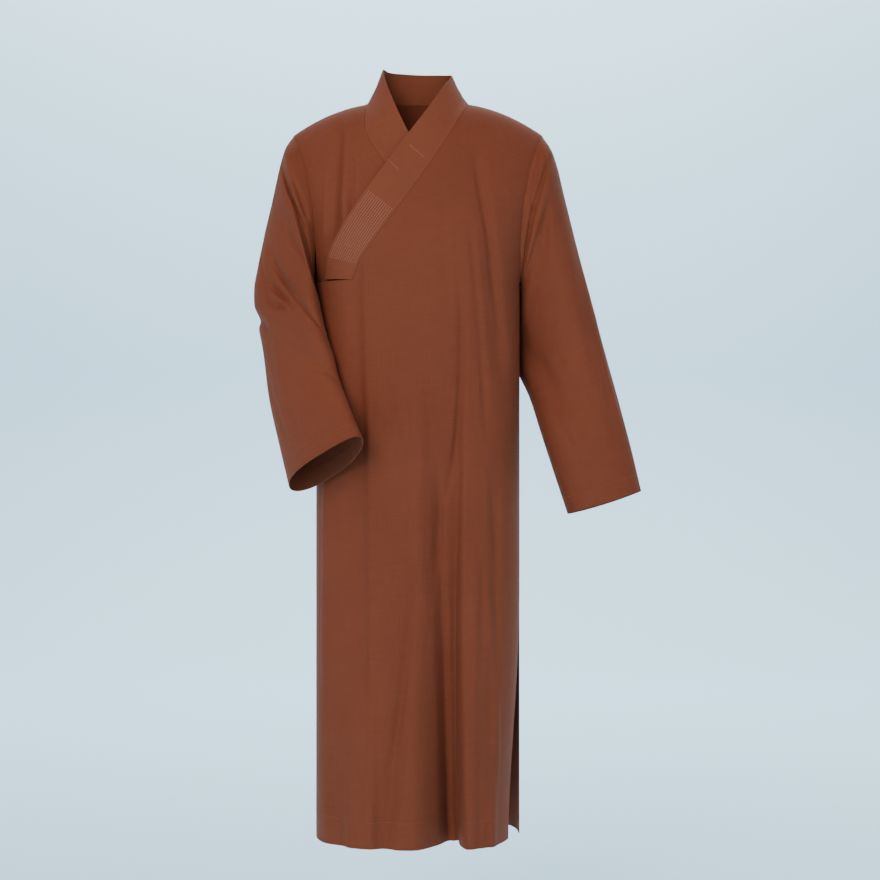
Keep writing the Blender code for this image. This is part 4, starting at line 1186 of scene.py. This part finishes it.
def add_studio():
    """A pale floor that sweeps up into a backdrop, soft lights and the camera."""
    profile = [(FLOOR_FRONT, FLOOR_Z), (SWEEP_START, FLOOR_Z)]
    profile += [
        (SWEEP_START + SWEEP_RADIUS * math.sin(turn), FLOOR_Z + SWEEP_RADIUS * (1 - math.cos(turn)))
        for turn in np.linspace(0.1, math.pi / 2, 16)
    ]
    profile += [(SWEEP_START + SWEEP_RADIUS, BACKDROP_TOP)]
    points = [(x, y, z) for y, z in profile for x in (-FLOOR_HALF_WIDTH, FLOOR_HALF_WIDTH)]
    faces = [(2 * k, 2 * k + 1, 2 * k + 3, 2 * k + 2) for k in range(len(profile) - 1)]
    mesh = bpy.data.meshes.new("floor")
    mesh.from_pydata(points, [], faces)
    mesh.shade_smooth()
    mesh.materials.append(plain_finish("pale_floor", FLOOR_COLOUR, 0.9))
    floor = bpy.data.objects.new("floor", mesh)
    bpy.context.scene.collection.objects.link(floor)
    for name, place, aim, size, power, colour in STUDIO_LIGHTS:
        data = bpy.data.lights.new(name, "AREA")
        data.shape = "RECTANGLE"
        data.size, data.size_y = size
        data.energy = power
        data.color = colour
        light = bpy.data.objects.new(name, data)
        light.location = place
        light.rotation_euler = (Vector(aim) - Vector(place)).to_track_quat("-Z", "Y").to_euler()
        bpy.context.scene.collection.objects.link(light)
    world = bpy.data.worlds.new("studio")
    world.use_nodes = True
    world.node_tree.nodes["Background"].inputs["Color"].default_value = (*WORLD_COLOUR, 1.0)
    world.node_tree.nodes["Background"].inputs["Strength"].default_value = WORLD_STRENGTH
    bpy.context.scene.world = world
    data = bpy.data.cameras.new("camera")
    data.sensor_width = 36
    data.lens = CAMERA_LENS
    camera = bpy.data.objects.new("camera", data)
    camera.location = CAMERA_PLACE
    camera.rotation_euler = (math.pi / 2, 0.0, 0.0)
    bpy.context.scene.collection.objects.link(camera)
    bpy.context.scene.camera = camera


def main():
    """Cuts, sews and dresses the robe, then sets up the studio."""
    weave = weave_group()
    cloth, band_cloth = (cloth_finish(weave, *finish) for finish in CLOTH_FINISHES)
    thread = plain_finish("brown_thread", THREAD_COLOUR, 0.7)
    light_thread = plain_finish("light_thread", LIGHT_THREAD_COLOUR, 0.6)

    outer_front, underlap, back = outer_front_rows(), underlap_rows(), back_rows()
    left = sleeve_rows(LEFT_SLEEVE, LEFT_SLEEVE_FOLDS, 1, LEFT_SLEEVE_CREASES)
    right = sleeve_rows(RIGHT_SLEEVE, RIGHT_SLEEVE_FOLDS, -1, RIGHT_SLEEVE_CREASES)
    band = band_rows(neckline(outer_front, back, underlap))
    panels = (
        # piece, rows, node, how its grid is turned, closed and thickened
        ("front_cloth", outer_front, "outer_front", {"hem": hem_walls(outer_front)}),
        ("underlap_cloth", underlap, "underlap", {}),
        ("back_cloth", back, "back", {"flip": True, "hem": hem_walls(back)}),
        ("left_sleeve_cloth", left, "sleeve_left", {"closed": True, "hem": cuff_walls(left)}),
        ("right_sleeve_cloth", right, "sleeve_right", {"closed": True, "flip": True, "hem": cuff_walls(right)}),
        ("collar_cloth", band, "collar_band", {"flip": True, "wall": SHOWN_BAND_WALL}),
    )
    sheets = {name: cloth_sheet(name, rows, **how) for name, rows, _, how in panels}
    mitre_seams(list(sheets.values()))
    sewn = add_stitches(sheets, stitch_tree(), thread, light_thread)
    for name, _, node, _ in panels:
        material, slot = (band_cloth, "band_cloth") if node == "collar_band" else (cloth, "robe_cloth")
        piece = add_cloth(sheets[name], material, node)
    add_studio()


def add_stitches(sheets, tree, thread, light_thread):
    """Hem, cuff and collar stitching, as the pieces sewn on each cloth."""
    hem = (tree, *HEM_STITCH, thread)
    sewn = {}
    for name in ("front_cloth", "back_cloth"):
        rows = sheets[name]["rows"]
        count = rows.shape[1]
        columns = np.arange(count)
        heights = rows[:, :, 2] - HEM_Z
        row_at = [np.interp(HEM_DEPTH - 0.002, heights[:, c], np.arange(len(rows))) for c in columns]
        line = on_sheet(sheets[name], row_at, columns)
        sewn[name] = [sew(name.replace("cloth", "hem_stitches"), [line], *hem)]
    for name in ("left_sleeve_cloth", "right_sleeve_cloth"):
        rows = sheets[name]["rows"]
        step = np.linalg.norm(np.diff(rows, axis=0), axis=2).mean(axis=1)
        row = len(rows) - 1 - (CUFF_DEPTH - 0.002) / step[-1]
        columns = np.arange(rows.shape[1] + 1)
        line = on_sheet(sheets[name], np.full(len(columns), row), columns)
        sewn[name] = [sew(name.replace("cloth", "cuff_stitches"), [line], *hem)]
    band = sheets["collar_cloth"]
    seam = band["rows"][:, 0]
    run = np.concatenate([[0.0], np.cumsum(np.linalg.norm(np.diff(seam, axis=0), axis=1))])

    def band_line(along_1, along_2, across_1, across_2):
        share = np.linspace(0, 1, 120)
        along = along_1 + (along_2 - along_1) * share
        across = across_1 + (across_2 - across_1) * share
        row_at = np.interp(along, run, np.arange(len(run)))
        return on_sheet(band, row_at, across * BAND_COLUMNS)

    lines = [band_line(a, min(b, run[-1]), c, d) for a, b, c, d in BAND_STITCHES]
    edge_rows = sew("collar_stitches", lines, tree, *EDGE_STITCH, thread)
    block = [
        band_line(*BLOCK_ALONG, across, across) for across in np.linspace(*BLOCK_ACROSS, BLOCK_ROWS)
    ]
    block += [band_line(along, along, first, last) for along, first, last in LAYER_ENDS]
    block_rows = sew("block_stitches", block, tree, *BLOCK_STITCH, light_thread)
    sewn["collar_cloth"] = [edge_rows, block_rows]
    return sewn


main()
